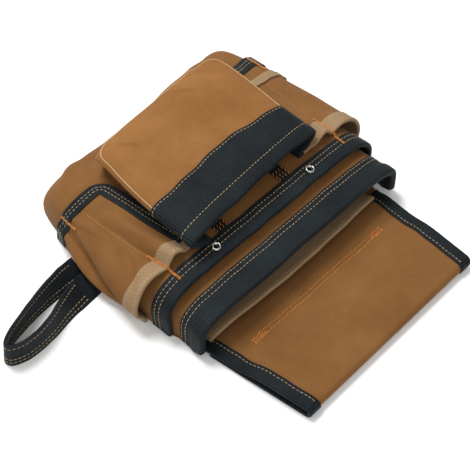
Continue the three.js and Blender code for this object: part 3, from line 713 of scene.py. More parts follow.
# painted reflection: the hollow middle of the cap is painted near black
hollow_painted_dark = {0: hollow, 6: plate, 7: linear("0E1418")}
plate = node(tree, "ShaderNodeMix", hollow_painted_dark, data_type="RGBA").outputs[2]
steel = {"Base Color": plate, "Metallic": 1.0, "Roughness": blur}
shader = node(tree, "ShaderNodeBsdfPrincipled", steel)
node(tree, "ShaderNodeOutputMaterial", {"Surface": shader.outputs[0]})
print("metal:", nickel_plate.name)

# %% [markdown]
# ## Sewing cloth into solids
# Every strip and panel is one closed outline, drawn in the thickness of the cloth, swept from seam
# to seam. A Solidify modifier would thicken a sheet too, but it can't wrap a hem round an edge. Each
# outline holds pairs of distance along the cloth and distance off its outer face. The uv map is laid
# in metres of cloth along the way, which the woven finishes read.

# %% Sweep
def finish_piece(name, mesh, material, slot, nodes):
    """Makes a mesh a piece of the pouch, in place of its CAD nodes."""
    made = bpy.data.objects.new(name, mesh)
    bpy.context.scene.collection.objects.link(made)
    mesh.materials.clear()
    mesh.materials.append(material)
    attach(made, "root")
    if nodes:
        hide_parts(*nodes)
    return made


def sweep_mesh(name, stations, outline, place):
    """A closed solid: the outline swept through the stations, with a cap at each end."""
    along, off = np.array(outline, float).T
    rings = to_frame(place(np.asarray(stations, float)[:, None], along[None, :], off[None, :]))
    n, m = rings.shape[:2]
    ring_steps = np.linalg.norm(np.diff(rings, axis=0), axis=2).mean(axis=1)
    u = np.concatenate([[0], np.cumsum(ring_steps)])
    round_trip = np.concatenate([rings, rings[:, :1]], axis=1)
    v_steps = np.linalg.norm(np.diff(round_trip, axis=1), axis=2).mean(axis=0)
    v = np.concatenate([[0], np.cumsum(v_steps)])
    i, j = np.meshgrid(np.arange(n - 1), np.arange(m), indexing="ij")
    k = (j + 1) % m
    faces = np.stack([i * m + j, i * m + k, (i + 1) * m + k, (i + 1) * m + j], -1).reshape(-1, 4)
    corners = np.stack(
        [np.stack([u[i], v[j]], -1), np.stack([u[i], v[j + 1]], -1)]
        + [np.stack([u[i + 1], v[j + 1]], -1), np.stack([u[i + 1], v[j]], -1)],
        -2,
    ).reshape(-1, 2)
    caps = [list(range(m))[::-1], [(n - 1) * m + c for c in range(m)]]
    mesh = bpy.data.meshes.new(name)
    mesh.from_pydata(rings.reshape(-1, 3), [], faces.tolist() + caps)
    cap_corners = [(0.0, v[c]) for c in caps[0]] + [(u[-1], v[c]) for c in range(m)]
    uv = mesh.uv_layers.new(name="cloth")
    uv.data.foreach_set("uv", np.concatenate([corners, np.array(cap_corners)]).ravel())
    work = bmesh.new()
    work.from_mesh(mesh)
    bmesh.ops.triangulate(work, faces=[f for f in work.faces if len(f.verts) > 4])
    bmesh.ops.recalc_face_normals(work, faces=work.faces)
    work.to_mesh(mesh)
    work.free()
    mesh.shade_smooth()
    mesh.set_sharp_from_angle(angle=math.radians(50))
    return mesh


def sewn(name, stations, outline, place, material, slot, *nodes):
    """Sweeps an outline along its stations and makes the result a piece, in place of the nodes."""
    made = finish_piece(name, sweep_mesh(name, stations, outline, place), material, slot, nodes)
    print(name, len(made.data.polygons), "faces")
    return made

# %% [markdown]
# ### Outlines
# Only two outlines are needed. A panel is one layer of cloth. A binding is a strip folded over an
# edge, with a round nose, a slot for the cloth it holds and a little swelling near the fold. A small
# ripple keeps long strips from looking ruled.

# %% Outlines of a panel and of a folded strip
def layer(run, thick, top=0.0):
    """Outline of one layer of cloth through a run of distances along it."""
    return [(s, top) for s in run] + [(s, top - thick) for s in run[::-1]]


def folded(width, cloth, thick, count, roll=0.0, roll_width=1.0):
    """Outline of a strip folded over an edge at 0; roll swells it near the fold."""
    outer = GAP + thick
    half = cloth / 2 + outer + roll
    run = np.linspace(0, width, count)

    def swell(s):
        return roll * smooth(roll_width, 0.55 * roll_width, s)

    points = [(width, GAP + 0.35 * thick), (width - 0.15 * thick, outer - 0.12 * thick)]
    points += [(s, outer + swell(s)) for s in np.linspace(width - 0.5, 0, count)]
    points += [
        (-(outer + roll) * math.cos(a), -cloth / 2 + half * math.sin(a))
        for a in np.radians(np.linspace(72, -72, 9))
    ]
    points += [(s, -cloth - outer - swell(s)) for s in run]
    points += [(s, -cloth - GAP) for s in run[:0:-1]]
    points += [(-1.6 * GAP, -cloth - GAP), (-1.6 * GAP, GAP)]
    points += [(s, GAP) for s in run[1:]]
    return points


def ripple(t, amount, *lengths):
    """A small hand-sewn unevenness along a strip, from a few waves of unlike length."""
    waves = sum(np.sin(2 * np.pi * t / w + 1.7 * i) for i, w in enumerate(lengths))
    return amount * waves / len(lengths)


wide = np.linspace(-1, 1, 201)
print("points in a folded outline:", len(folded(BINDING, CANVAS, WEBBING, 8)))

# %% [markdown]
# ## Back panel and belt flap
# One sheet of canvas runs from the closed bottom up the wearer's side, turns over at the belt fold
# and comes back down to be stitched through along one line. That closes the tunnel for the belt. It
# could be cut as two flat panels, but one section drawn round the fold keeps the sheet whole. The
# side edges are looked up from the pouch's plan, and the stitches pull both faces together a little.

# %% Plan of the back panel and flap
fold_radius = (TUNNEL_TOP - LIFT) / 2
fold_z = LIFT + fold_radius
panel_end_y = BODY["y"][-1] * BODY_LENGTH
flap_run = np.linspace(fold_radius, BOUND_END_Y, 60)
back_run = np.linspace(BOUND_END_Y, panel_end_y, 110)[1:]
fold_turns = np.radians(np.linspace(90, 270, 19)[1:-1])


def flap_half(y):
    """Half the flap's width, which grows from the fold to the mouth."""
    return lerp(FLAP_FOLD_WIDTH, FLAP_MOUTH_WIDTH, np.clip(y / MOUTH_Y, 0, 1)) / 2


def panel_edge(y, side, sign):
    """Half the sheet's plan; the flap is folded over a little askew, towards the right."""
    body_edge = column(BODY, "y", side, y / BODY_LENGTH) * BODY_HALF_WIDTH + sign * SEAM_MARGIN
    flap_edge = sign * flap_half(y) + FLAP_SHIFT
    return lerp(flap_edge, body_edge, smooth(MOUTH_Y, MOUTH_Y + SHOULDER_LENGTH, y))


def panel_place(s, y, z):
    """A point of the sheet, at the share s of its width from -1 to 1, with a slight sag."""
    left, right = panel_edge(y, "left", -1), panel_edge(y, "right", 1)
    slant = smooth(MOUTH_Y, MOUTH_Y + SHOULDER_LENGTH, y)
    slant = slant * column(BODY, "y", "slant", y / BODY_LENGTH) * BODY_LENGTH
    x = lerp(left, right, (s + 1) / 2)
    sag = 0.6 * np.sin(x / 31) * np.sin(y / 17) * smooth(60, 20, y) * (z > fold_z)
    return np.stack(np.broadcast_arrays(x, y + s * slant, z + sag), -1)


def fold_arc(radius):
    """Points round the belt fold."""
    return [(fold_radius + radius * math.cos(a), fold_z + radius * math.sin(a)) for a in fold_turns]


def tack(y, z, rise):
    """Height of the sheet near the belt seam, where the stitches pull both faces together."""
    return z + rise * np.exp(-(((y - BELT_SEAM_Y) / 3.0) ** 2))


print("fold radius", round(fold_radius, 2), "mm, sheet ends at", round(panel_end_y, 1), "mm")

# %% [markdown]
# ### Its outline
# The outline starts on the upper face at the closed end, comes down to the fold, runs back along the
# table under the flap, and returns along the inner faces. Both faces are drawn, so the belt tunnel
# is open from side to side.

# %% Back panel and flap
FACE_PULL, INNER_PULL = 0.6, 0.8
upper = np.concatenate([flap_run, back_run])
seam_half = (STACK - CANVAS) / 2
panel_outline = [(y, tack(y, panel_top(y), -seam_half * FACE_PULL)) for y in upper[::-1]]
panel_outline += fold_arc(fold_radius)
panel_outline += [(y, LIFT) for y in flap_run[:-1]]
panel_outline += [(y, tack(y, LIFT + CANVAS, seam_half * INNER_PULL)) for y in flap_run[:-1][::-1]]
panel_outline += fold_arc(fold_radius - CANVAS)[::-1]
panel_outline += [(y, tack(y, panel_top(y) - CANVAS, -seam_half * INNER_PULL)) for y in upper]
sewn(
    "back_panel_canvas",
    np.linspace(-1, 1, 121),
    panel_outline,
    panel_place,
    duck_canvas,
    "canvas",
    "back_panel",
)

# %% [markdown]
# ## Flap bindings
# The flap's two raw side edges are closed with 25 mm webbing, folded in half along its length and
# caught with one row of stitches. A Curve with a bevel would make the strip too, but its corners
# would not stay square to the sheet. So a path holds each point of the sheet's section with the way
# that faces out of it, and the folded outline is swept along that, round the belt fold.

# %% Path of the flap bindings
tucked_in = np.linspace(BOUND_END_Y + 13, BOUND_END_Y, 8)[:-1]
flap_path = [(y, float(panel_top(y)), 0.0, 1.0) for y in (*tucked_in, *flap_run[::-1])]
flap_path += [
    (fold_radius * (1 + math.cos(a)), fold_z + fold_radius * math.sin(a), math.cos(a), math.sin(a))
    for a in fold_turns
]
flap_path += [(y, LIFT, 0.0, -1.0) for y in flap_run[:-1]]
flap_path = np.array(flap_path)
print("stations round the fold:", len(flap_path))

# %% [markdown]
# ### Both strips
# The left and right strips share the path and differ in their side edge. A wave of under a
# millimetre makes their inner edges wander, because they are sewn by hand guiding.

# %% Flap bindings
def flap_binding_place(side, sign):
    def place(t, inwards, off):
        y, z, out_y, out_z = (np.interp(t, np.arange(len(flap_path)), c) for c in flap_path.T)
        wave = ripple(y + 40 * sign, 0.7, 37, 71, 23) * smooth(0, 4, np.abs(inwards))
        x = panel_edge(y, side, sign) - sign * (inwards + wave)
        return np.stack(np.broadcast_arrays(x, y + out_y * off, z + out_z * off), -1)

    return place


flap_binding = {}
for side, sign in (("left", -1), ("right", 1)):
    flap_binding[side] = flap_binding_place(side, sign)
    sewn(
        "flap_binding_webbing_" + side,
        np.arange(len(flap_path)),
        folded(BINDING, CANVAS, WEBBING, 8),
        flap_binding[side],
        black_webbing,
        "webbing",
        "flap_binding_" + side,
    )

# %% [markdown]
# ## Main and middle pockets
# Both are one wide panel of canvas over the whole pouch. The mouth is bound with 50 mm webbing,
# folded over the edge. On the real pouch the fold is left soft and rolls into a thick round lip below
# the stitches. The same folded outline makes it, with a swelling near the fold.

# %% Main pocket
ROLL_MAIN, ROLL_WIDTH = 1.8, 15


def main_band(u, s, off):
    """The main mouth's webbing, s millimetres in from the mouth, with a wavy lip and edge."""
    wave = ripple(u, 0.5, 0.9, 0.37, 0.21) * smooth(4, 20, s)
    wave = wave + ripple(u, 1.1, 1.3, 0.6) * smooth(20, 0, s)
    return body(u, along_mouth + (s + wave) * PER_MM, off)


body_run = np.linspace(along_mouth + 2 * PER_MM, 1, 130)
sewn("main_pocket_canvas", wide, layer(body_run, CANVAS), body, duck_canvas, "canvas", "main_pocket")
sewn(
    "main_mouth_webbing",
    wide,
    folded(MAIN_BAND, CANVAS, WEBBING, 16, ROLL_MAIN, ROLL_WIDTH),
    main_band,
    black_webbing,
    "webbing",
    "main_mouth_band",
)

# %% [markdown]
# ### Middle pocket
# The next layer lies on the main pocket and starts further down. Its webbing is narrower and lies
# flatter, so the swelling is small. It runs to the same closed end.

# %% Middle pocket
def mid_band(u, s, off):
    """The middle mouth's webbing, s millimetres in from the mouth."""
    wave = ripple(u, 0.5, 0.8, 0.33, 0.19)
    return mid(u, along_mid + (s + wave) * PER_MM, off)


mid_run = np.linspace(along_mid + PER_MM, 1, 130)
sewn("middle_pocket_canvas", wide, layer(mid_run, CANVAS), mid, duck_canvas, "canvas", "middle_pocket")
sewn(
    "middle_mouth_webbing",
    wide,
    folded(MID_BAND, CANVAS, WEBBING, 12, 0.5, 8),
    mid_band,
    black_webbing,
    "webbing",
    "middle_mouth_band",
)

# %% [markdown]
# ## Tool slots
# On each side a panel of canvas is sewn to the middle pocket along its bottom, its inner edge and one
# line in the middle, which makes two slots for long tools. The panel is cut wider than what it
# covers, so its mouth gapes between the seams. It could be an arch like the pockets. It is drawn as
# a height over the middle pocket instead, so it follows every fold of the layer below.

# %% Gape of the slots
along_slot, along_slot_end = float(body_along(SLOT_MOUTH_Y)), float(body_along(SLOT_END_Y))
SLOT_STAND_OFF = LOOSE + WEBBING + GAP + CANVAS
slot_rows = np.linspace(along_slot - 0.03, 1, 120)


def slot_gape(w, along):
    """How far the panel stands off between its seams."""
    first = w < SLOT_DIVIDE
    share = np.where(first, w / SLOT_DIVIDE, (w - SLOT_DIVIDE) / (SLOT_CLOSE - SLOT_DIVIDE))
    size = np.where(first, SLOT_GAPE, SLOT_GAPE * INNER_SLOT_SHARE)
    bulge = np.maximum(np.sin(np.pi * np.clip(share, 0, 1)), 0) ** 1.5
    return size * bulge * smooth(along_slot_end, along_slot, along)


print("slot mouth at", round(along_slot, 3), "and end at", round(along_slot_end, 3), "of the cloth")

# %% [markdown]
# ### Creases in the slots
# In the photo a deep crease runs down the outer slot on the left. It is one narrow dent with a ridge
# beside it. The right panel faces away and looks much smoother, so it takes a third of the creases.

# %% Table of creases
RIGHT_SLOT_CREASE, RIGHT_SLOT_GAPE = 0.3, 0.825
SLOT_FOLDS = table(
    "across along length breadth turn rise",
    (0.25, 0.55, 44, 4, 75, -8),
    (0.15, 0.55, 44, 6, 75, 5),
    (0.42, 0.25, 30, 6, 60, -4.5),
    (0.5, 0.7, 30, 5, 100, 2.5),
    (0.42, 0.5, 34, 8, 60, 1.2),
    (0.66, 0.35, 30, 7, 100, -1.6),
    (0.58, 0.3, 30, 4, 90, -1.6),
    (0.8, 0.6, 36, 8, 84, 1.2),
)
print("creases on each side:", len(SLOT_FOLDS["rise"]))

# %% [markdown]
# ### Surface of a slot panel
# w runs from the outer side at 0 to the inner edge at 1. The inner edge is drawn in towards the
# mouth, and the panel flares a little past its end at the outer side, as in the photo. The cloth
# never sinks into the layer below, whatever the creases say.

# %% Slot panel
def slot_panel(sign):
    """The panel's surface on one side, as a function, and the panel's width in millimetres."""
    share = np.clip((slot_rows - along_slot) / (along_slot_end - along_slot), 0, 1)
    inner_x = POCKET_CENTRE_X + sign * lerp(SLOT_INNER_MOUTH, SLOT_INNER, share) * POCKET_WIDTH / 2
    inner_edge = body_across(inner_x, slot_rows)
    crumple = folds(SLOT_FOLDS, 110, SLOT_END_Y - SLOT_MOUTH_Y)
    crease, gape = (1, 1) if sign < 0 else (RIGHT_SLOT_CREASE, RIGHT_SLOT_GAPE)

    def place(w, along, off=0.0):
        share = (along - along_slot) / (along_slot_end - along_slot)
        s = along + (1 - w) * share * SLOT_FLARE * PER_MM
        u = sign + (np.interp(s, slot_rows, inner_edge) - sign) * w
        dent = crease * crumple(w, share) * smooth(0, 0.08, w) * smooth(1, 0.8, w)
        stand = SLOT_STAND_OFF + gape * slot_gape(w, along) + dent
        stand = np.maximum(stand, SLOT_STAND_OFF - 1.2)
        return body(u, s, mid_off(u, s) + stand + off)

    w = np.linspace(0, 1, 60)
    width = np.linalg.norm(np.diff(place(w, along_slot_end), axis=0), axis=1).sum()
    return place, width


slot_length = (along_slot_end - along_slot) / PER_MM
print("slot panels are", round(slot_length), "mm long")

# %% [markdown]
# ### Rounded corner and binding
# The panel's lower inner corner is cut round, so that one piece of webbing can run along the end,
# round the corner and up the inner edge. The path is worked out flat, as on the cutting table.

# %% Path of the slot binding
def corner_cut(x, width):
    """How far the rounded corner draws the panel's end in at x along it."""
    inside = np.clip(x - (width - SLOT_CORNER), 0, SLOT_CORNER)
    return SLOT_CORNER - np.sqrt(SLOT_CORNER**2 - inside**2)


def binding_path(width):
    """Distance along, place and inward normal of the binding's edge, in the panel's own plane."""
    turns = np.radians(np.linspace(-90, 0, 15))
    low = np.array([(x, 0, 0, 1) for x in np.linspace(0, width - SLOT_CORNER, 50)[:-1]])
    turn = np.array(
        [
            (width - SLOT_CORNER + SLOT_CORNER * math.cos(a), SLOT_CORNER + SLOT_CORNER * math.sin(a))
            + (-math.cos(a), -math.sin(a))
            for a in turns
        ]
    )
    side = np.array([(width, y, -1, 0) for y in np.linspace(SLOT_CORNER, slot_length - 8, 46)[1:]])
    return np.concatenate([low, turn, side])


print("points along the slot binding:", len(binding_path(110)))

# %% [markdown]
# ### Panels, tapes and bindings
# Each side gets its canvas, the folded beige tape on its mouth and the folded webbing round its edge.
# The functions are kept for the stitches, which have to lie on the same surfaces.

# %% Tool slots
slots = {}
for side, sign in (("left", -1), ("right", 1)):
    place, width = slot_panel(sign)
    path = binding_path(width)

    def cloth(w, along, off, place=place, width=width):
        share = (along - along_slot) / (along_slot_end - along_slot)
        drawn = along - share * corner_cut(w * width, width) * PER_MM
        return place(w, drawn, off)

    def binding(t, inwards, off, place=place, width=width, path=path):
        x, y, nx, ny = (np.interp(t, np.arange(len(path)), c) for c in path.T)
        inwards = inwards - ripple(t, 0.4, 23, 41) * (inwards > 4)
        w = (x + nx * inwards) / width
        return place(w, along_slot_end - (y + ny * inwards) * PER_MM, off)

    def taped(w, s, off, place=place):
        return place(w, along_slot + (s + ripple(w, 0.5, 0.4, 0.23)) * PER_MM, off)

    slots[side] = {"place": place, "path": path, "binding": binding, "tape": taped}
    across_slot = np.linspace(0, 1, 121)
    sewn(
        "tool_slots_canvas_" + side,
        across_slot,
        layer(np.linspace(along_slot + PER_MM, along_slot_end, 90), CANVAS),
        cloth,
        duck_canvas,
        "canvas",
        "tool_slots_" + side,
    )
    sewn(
        "slot_mouth_tape_" + side,
        across_slot,
        folded(SLOT_TAPE, CANVAS, TAPE, 10),
        taped,
        cotton_tape,
        "tape",
        "slot_tape_" + side,
    )
    sewn(
        "slot_edge_webbing_" + side,
        np.arange(len(path)),
        folded(BINDING, CANVAS, WEBBING, 8),
        binding,
        black_webbing,
        "webbing",
        "slot_binding_" + side,
    )

# %% [markdown]
# ### Pencil sleeve
# The right panel shows one more taped edge near its closed end. It is read as the rim of a narrow
# sleeve for a pencil. The sleeve itself would lie flat and out of sight, so only its rim is made: a
# strip of doubled tape that stands a little off the canvas.

# %% Pencil sleeve tape
SLEEVE_BACK, SLEEVE_WIDTH = 33, 8


def sleeve(w, s, off):
    """The sleeve's rim on the right slot panel, a little askew."""
    along = along_slot_end - (SLEEVE_BACK - s - 3 * w) * PER_MM
    return slots["right"]["place"](w, along, off)


sleeve_run = layer(np.linspace(0, SLEEVE_WIDTH, 9), 2 * TAPE, GAP + 2 * TAPE)
sleeve_across = np.linspace(0.1, 0.72, 60)
sewn("pencil_sleeve_tape", sleeve_across, sleeve_run, sleeve, cotton_tape, "tape")

# %% [markdown]
# ## Front pocket
# The nail pocket is boxed: its sides drop steeply from a flat face and tuck in under it, so it stands
# up when empty. Separate panels for face and sides could be joined at their seams, but one arch with
# a square section gives the same shape with no gap. More rows lie near the closed end, where the
# cloth turns down.

# %% Front pocket
pocket_across = np.linspace(-1, 1, 201)
pocket_run = np.concatenate([np.linspace(0.01, 0.7, 60), np.linspace(0.7, 1, 70)[1:]])
# the front pocket's canvas is the paler copy, painted light for its face
sewn(
    "front_pocket_canvas",
    pocket_across,
    layer(pocket_run, CANVAS),
    pocket,
    lit_pocket_canvas,
    "canvas",
    "front_pocket",
)

# %% [markdown]
# ### Its webbing
# The mouth is faced with one wide strip of ribbed webbing that turns under at the lip. Its far edge
# wanders, and towards the right it is drawn in by 8 mm, where the strip was pulled while it was sewn.

# %% Front pocket webbing
BAND_DRAWN = 8


def pocket_band(u, s, off):
    """The front pocket's webbing, s millimetres in from the mouth."""
    wave = ripple(u, 1.4, 1.5, 0.7, 0.31) * smooth(20, 44, s)
    wave = wave + ripple(u, 0.8, 0.9, 0.4) * smooth(10, 0, s)
    drawn = BAND_DRAWN * smooth(0.05, 0.75, u) * smooth(4, 40, s)
    return pocket(u, (s + wave - drawn) / POCKET_LENGTH, off)


sewn(
    "front_pocket_webbing",
    pocket_across,
    folded(POCKET_BAND, CANVAS, WEBBING, 26, 0.9, 10),
    pocket_band,
    black_webbing,
    "webbing",
    "front_pocket_band",
)

# %% [markdown]
# ### Its welt
# A welt, a strip of cloth folded round a cord, is caught in the seam where the pocket's face meets
# its sides; its pale colour is a painted highlight along that edge. No edge of the mesh marks that
# seam. The line is found instead, where the cloth starts to turn down, up one side, across the
# closed end and down the other, and smoothed.

# %% Edge of the front pocket's face
def facing_up(u, along):
    """How far the pocket's face points up at a place, 1 when it lies flat."""
    rise = pocket(u, along, 1.0) - pocket(u, along)
    return rise[..., 2] / np.linalg.norm(rise, axis=-1)


WELT_TURN, WELT_END_TURN, CORNER_ROWS = 0.72, 0.6, 12
side_along = np.linspace(0.1, 0.93, 110)
across_half = np.linspace(-0.98, 0, 300)


def side_edge(sign):
    """Where the face meets the side wall, as a share across, for each of side_along."""
    steep = facing_up(-sign * across_half[None, :], side_along[:, None]) < WELT_TURN
    return -sign * across_half[np.minimum(steep.sum(axis=1), len(across_half) - 1)]


left_edge, right_edge = side_edge(-1), side_edge(1)
end_along = np.linspace(0.8, 0.995, 200)
end_across = np.linspace(left_edge[-CORNER_ROWS], right_edge[-CORNER_ROWS], 90)
level_part = facing_up(end_across[:, None], end_along[None, :]) > WELT_END_TURN
end_edge = end_along[np.minimum(level_part.sum(axis=1), len(end_along) - 1)]
print("welt across", left_edge[[0, 50, 90]].round(2), right_edge[[0, 50, 90]].round(2))

# %% [markdown]
# ### The welt's tube
# The three stretches are joined, smoothed by a moving mean and given a ring of eight points all the
# way. Its seam would be hidden in the cloth, so a plain tube half sunk in the edge is enough.

# %% Front pocket welt
WELT_RADIUS, WELT_WINDOW = 0.65, 15
even = np.ones(WELT_WINDOW) / WELT_WINDOW
straight = slice(0, -CORNER_ROWS)
welt_u = np.concatenate([left_edge[straight], end_across, right_edge[straight][::-1]])
welt_along = np.concatenate([side_along[straight], end_edge, side_along[straight][::-1]])
welt_u = np.convolve(np.pad(welt_u, WELT_WINDOW // 2, "edge"), even, "valid")
welt_along = np.convolve(np.pad(welt_along, WELT_WINDOW // 2, "edge"), even, "valid")
welt_line = pocket(welt_u, welt_along, 0.3)
welt_out = unit(pocket(welt_u, welt_along, 1.3) - welt_line)
welt_side = unit(np.cross(welt_out, np.gradient(welt_line, axis=0)))


def welt_place(step, sideways, out):
    """Points of the tube's ring at each step along the welt."""
    i = np.broadcast_to(step, np.broadcast_shapes(step.shape, out.shape)).astype(int)
    return welt_line[i] + welt_side[i] * sideways[..., None] + welt_out[i] * out[..., None]


ring = [(WELT_RADIUS * math.cos(a), WELT_RADIUS * math.sin(a)) for a in np.radians(range(0, 360, 45))]
welt_steps = np.arange(len(welt_line))
# the welt's pale colour is a painted highlight along the face's edge
sewn("front_pocket_welt", welt_steps, ring, welt_place, welt_painted_highlight, "canvas")

# %% [markdown]
# ## Inner pocket
# Inside the main mouth a flat pocket for a rule or note pad is sewn to the back panel. Only its taped
# edge shows between the black lip and the flap, so its depth is a guess. It is made like the others,
# a panel and a folded tape on its own low arch, so that it holds up when looked at from above.

# %% Inner pocket
inner_across = np.linspace(-1, 1, 161)


def inner_band(u, s, off):
    """The inner pocket's tape, s millimetres in from the mouth."""
    return inner(u, (s + ripple(u, 0.5, 0.9, 0.35)) / INNER_LENGTH, off)


inner_run = np.linspace(0.01, 1, 50)
sewn(
    "inner_pocket_canvas",
    inner_across,
    layer(inner_run, CANVAS),
    inner,
    duck_canvas,
    "canvas",
    "inner_pocket",
)
sewn(
    "inner_mouth_tape",
    inner_across,
    folded(SLOT_TAPE, CANVAS, TAPE, 10),
    inner_band,
    cotton_tape,
    "tape",
    "inner_tape",
)

# %% [markdown]
# ## Hammer loop
# Two layers of webbing are sewn back to back and both ends are caught in the left side seam. Stiff
# webbing stands on its edge, turns sharply at the far end and twists flat towards the seam. A curve
# with tilt could do it, but here the middle line and the lean come from one table, point by point.

# %% Middle line of the loop
LOOP_THICK = 2 * WEBBING + 2 * GAP


def loop_centre(t):
    """Middle of the webbing at the turn t round the loop, and its lean in radians."""
    get = {name: column(LOOP, "turn", name, t) for name in LOOP}
    x = -LOOP_ROOT_X - get["x"] * LOOP_REACH
    y = LOOP_ROOT_Y + get["y"] * LOOP_WEBBING_WIDTH
    return np.stack([x, y, get["z"] * LOOP_WEBBING_WIDTH], -1), np.radians(get["lean"])


def loop_place(t, share, off):
    """share runs over the webbing's width from its lower edge at -0.5, off is along its face."""
    t, share, off = np.broadcast_arrays(t, share, off)
    centre, lean = loop_centre(t)
    ahead = loop_centre(t + 0.01)[0] - loop_centre(t - 0.01)[0]
    ahead[..., 2] = 0
    ahead = unit(ahead)
    inwards = np.stack([-ahead[..., 1], ahead[..., 0], np.zeros(t.shape)], -1)
    up = inwards * np.cos(lean)[..., None]
    up[..., 2] = np.sin(lean)
    out = np.cross(ahead, up)
    edge = 0.5 * ripple(t, 1, 0.11, 0.07) * np.abs(share)
    p = centre + up * (share * LOOP_WEBBING_WIDTH + edge)[..., None] + out * off[..., None]
    p[..., 2] = np.maximum(p[..., 2], 0.05)
    return p


print("loop is", round(LOOP_THICK, 1), "mm thick")

# %% [markdown]
# ### Where the loop meets the pouch
# The real ends vanish under the slot panel. The CAD solid stops short of it, and so does this piece.
# For each point of its outline a search finds how far that point may go before it comes within two
# millimetres of the panel, so the cut ends follow the panel's side with no corner poking through.

# %% Hammer loop
LOOP_CLEARANCE = 2.2
half_thick = LOOP_THICK / 2
rounded = [(0.5 * x, half_thick * z) for x, z in ((-0.97, 1), (-0.6, 1), (-0.2, 1), (0.2, 1), (0.6, 1))]
rounded += [(0.5 * x, half_thick * z) for x, z in ((0.97, 1), (1, 0.6), (1, 0), (1, -0.6), (0.97, -1))]
rounded += [(0.5 * x, -half_thick) for x in (0.6, 0.2, -0.2, -0.6, -0.97)]
rounded += [(-0.5, -half_thick * 0.6), (-0.5, 0.0), (-0.5, half_thick * 0.6)]


def loop_reach(turns):
    """For each outline point, the turn nearest the end at which it still clears the slot's side."""
    w, along = np.linspace(0, 0.6, 90), np.linspace(along_slot, along_slot_end + 0.06, 240)
    wall = slots["left"]["place"](w[:, None], along[None, :]).reshape(-1, 3)
    found = []
    for share, off in rounded:
        points = loop_place(turns, np.full(turns.shape, share), np.full(turns.shape, off))
        away = np.array([np.linalg.norm(wall - p, axis=1).min() for p in points])
        found.append(turns[max(int(np.argmax(away < LOOP_CLEARANCE)) - 1, 0)])
    return np.array(found)


loop_first = loop_reach(np.linspace(0.14, 0.0, 71))
loop_last = loop_reach(np.linspace(0.88, 1.0, 71))
outline_share, outline_off = (np.array(c) for c in zip(*rounded))


def loop_strip(step, index, off):
    """The loop between its two cut ends; index counts the outline's points."""
    k = np.broadcast_to(index, np.broadcast_shapes(step.shape, index.shape)).astype(int)
    return loop_place(lerp(loop_first[k], loop_last[k], step), outline_share[k], outline_off[k])


print("loop ends", loop_first.round(3).tolist(), loop_last.round(3).tolist())
numbered = [(k, 0.0) for k in range(len(rounded))]
loop_steps = np.linspace(0, 1, 171)
sewn("hammer_loop_webbing", loop_steps, numbered, loop_strip, black_webbing, "webbing", "hammer_loop")

# %% [markdown]
# ## Tabs and rivets
# Two short tabs of doubled webbing run from the middle band to under the front pocket and take the
# pull of a full pocket. Flat blocks would stand off the curved cloth at their corners, so each is
# swept over the middle pocket's surface, like the bindings.

# %% Tabs
along_tab = along_mid + (MID_BAND + GAP) * PER_MM
tabs = {}
for side, sign in (("left", -1), ("right", 1)):

    def tab_place(s, share, off, x=sign * TAB_SPACING / 2):
        along = along_tab + s * PER_MM
        return mid(body_across(x + share * TAB_WIDTH, along), along, off + GAP)

    tabs[side] = tab_place
    flat = [(x, GAP + 2 * WEBBING) for x in (0.46, 0.2, 0, -0.2, -0.46)]
    rim = [(-0.5, GAP + 1.4 * WEBBING), (-0.5, GAP + 0.4 * WEBBING)]
    under = [(x, GAP) for x in (-0.46, -0.2, 0, 0.2, 0.46)]
    other = [(0.5, GAP + 0.4 * WEBBING), (0.5, GAP + 1.4 * WEBBING)]
    sewn(
        "tab_webbing_" + side,
        np.linspace(0, TAB_LENGTH, 16),
        flat + rim + under + other,
        tab_place,
        black_webbing,
        "webbing",
        "tab_" + side,
    )

# %% [markdown]
# ### Rivets
# Beside each tab a rivet holds the layers. Its cap is pressed round, with a raised ring and a sunk
# middle, so its profile is spun about its own axis and then set square to the cloth. A sphere would
# lack the ring that catches the light.

# %% Rivets
CAP = [(0, 0.34), (0.3, 0.34), (0.44, 0.4), (0.54, 0.66), (0.64, 0.92), (0.76, 1), (0.88, 0.86)]
CAP += [(0.97, 0.52), (1, 0.24), (0.98, 0.14), (0.9, 0.12), (0, 0.12)]
SPIN = 40


def rivet(name, seat, axis, node_name):
    """A cap spun from its profile, standing on seat along axis, both in the frame."""
    work = bmesh.new()
    line = [Vector((r * RIVET_RADIUS * MM, 0, z * RIVET_HEIGHT * MM)) for r, z in CAP]
    verts = [work.verts.new(p) for p in line]
    edges = [work.edges.new(pair) for pair in zip(verts, verts[1:])]
    turn = {"cent": (0, 0, 0), "axis": (0, 0, 1), "angle": 2 * math.pi, "steps": SPIN}
    bmesh.ops.spin(work, geom=verts + edges, **turn)
    bmesh.ops.remove_doubles(work, verts=work.verts, dist=1e-6)
    bmesh.ops.recalc_face_normals(work, faces=work.faces)
    stand = Vector((0, 0, 1)).rotation_difference(Vector(axis)).to_matrix().to_4x4()
    bmesh.ops.transform(work, matrix=Matrix.Translation(seat) @ stand, verts=work.verts)
    mesh = bpy.data.meshes.new(name)
    work.to_mesh(mesh)
    work.free()
    mesh.shade_smooth()
    stands = [v.co - Vector(seat) for v in mesh.vertices]
    reach = np.array([(d - Vector(axis) * d.dot(Vector(axis))).length for d in stands])
    sunk = smooth(0.58 * RIVET_RADIUS * MM, 0.46 * RIVET_RADIUS * MM, reach)
    mesh.attributes.new("hollow", "FLOAT", "POINT").data.foreach_set("value", sunk)
    return finish_piece(name, mesh, nickel_plate, "nickel", [node_name])


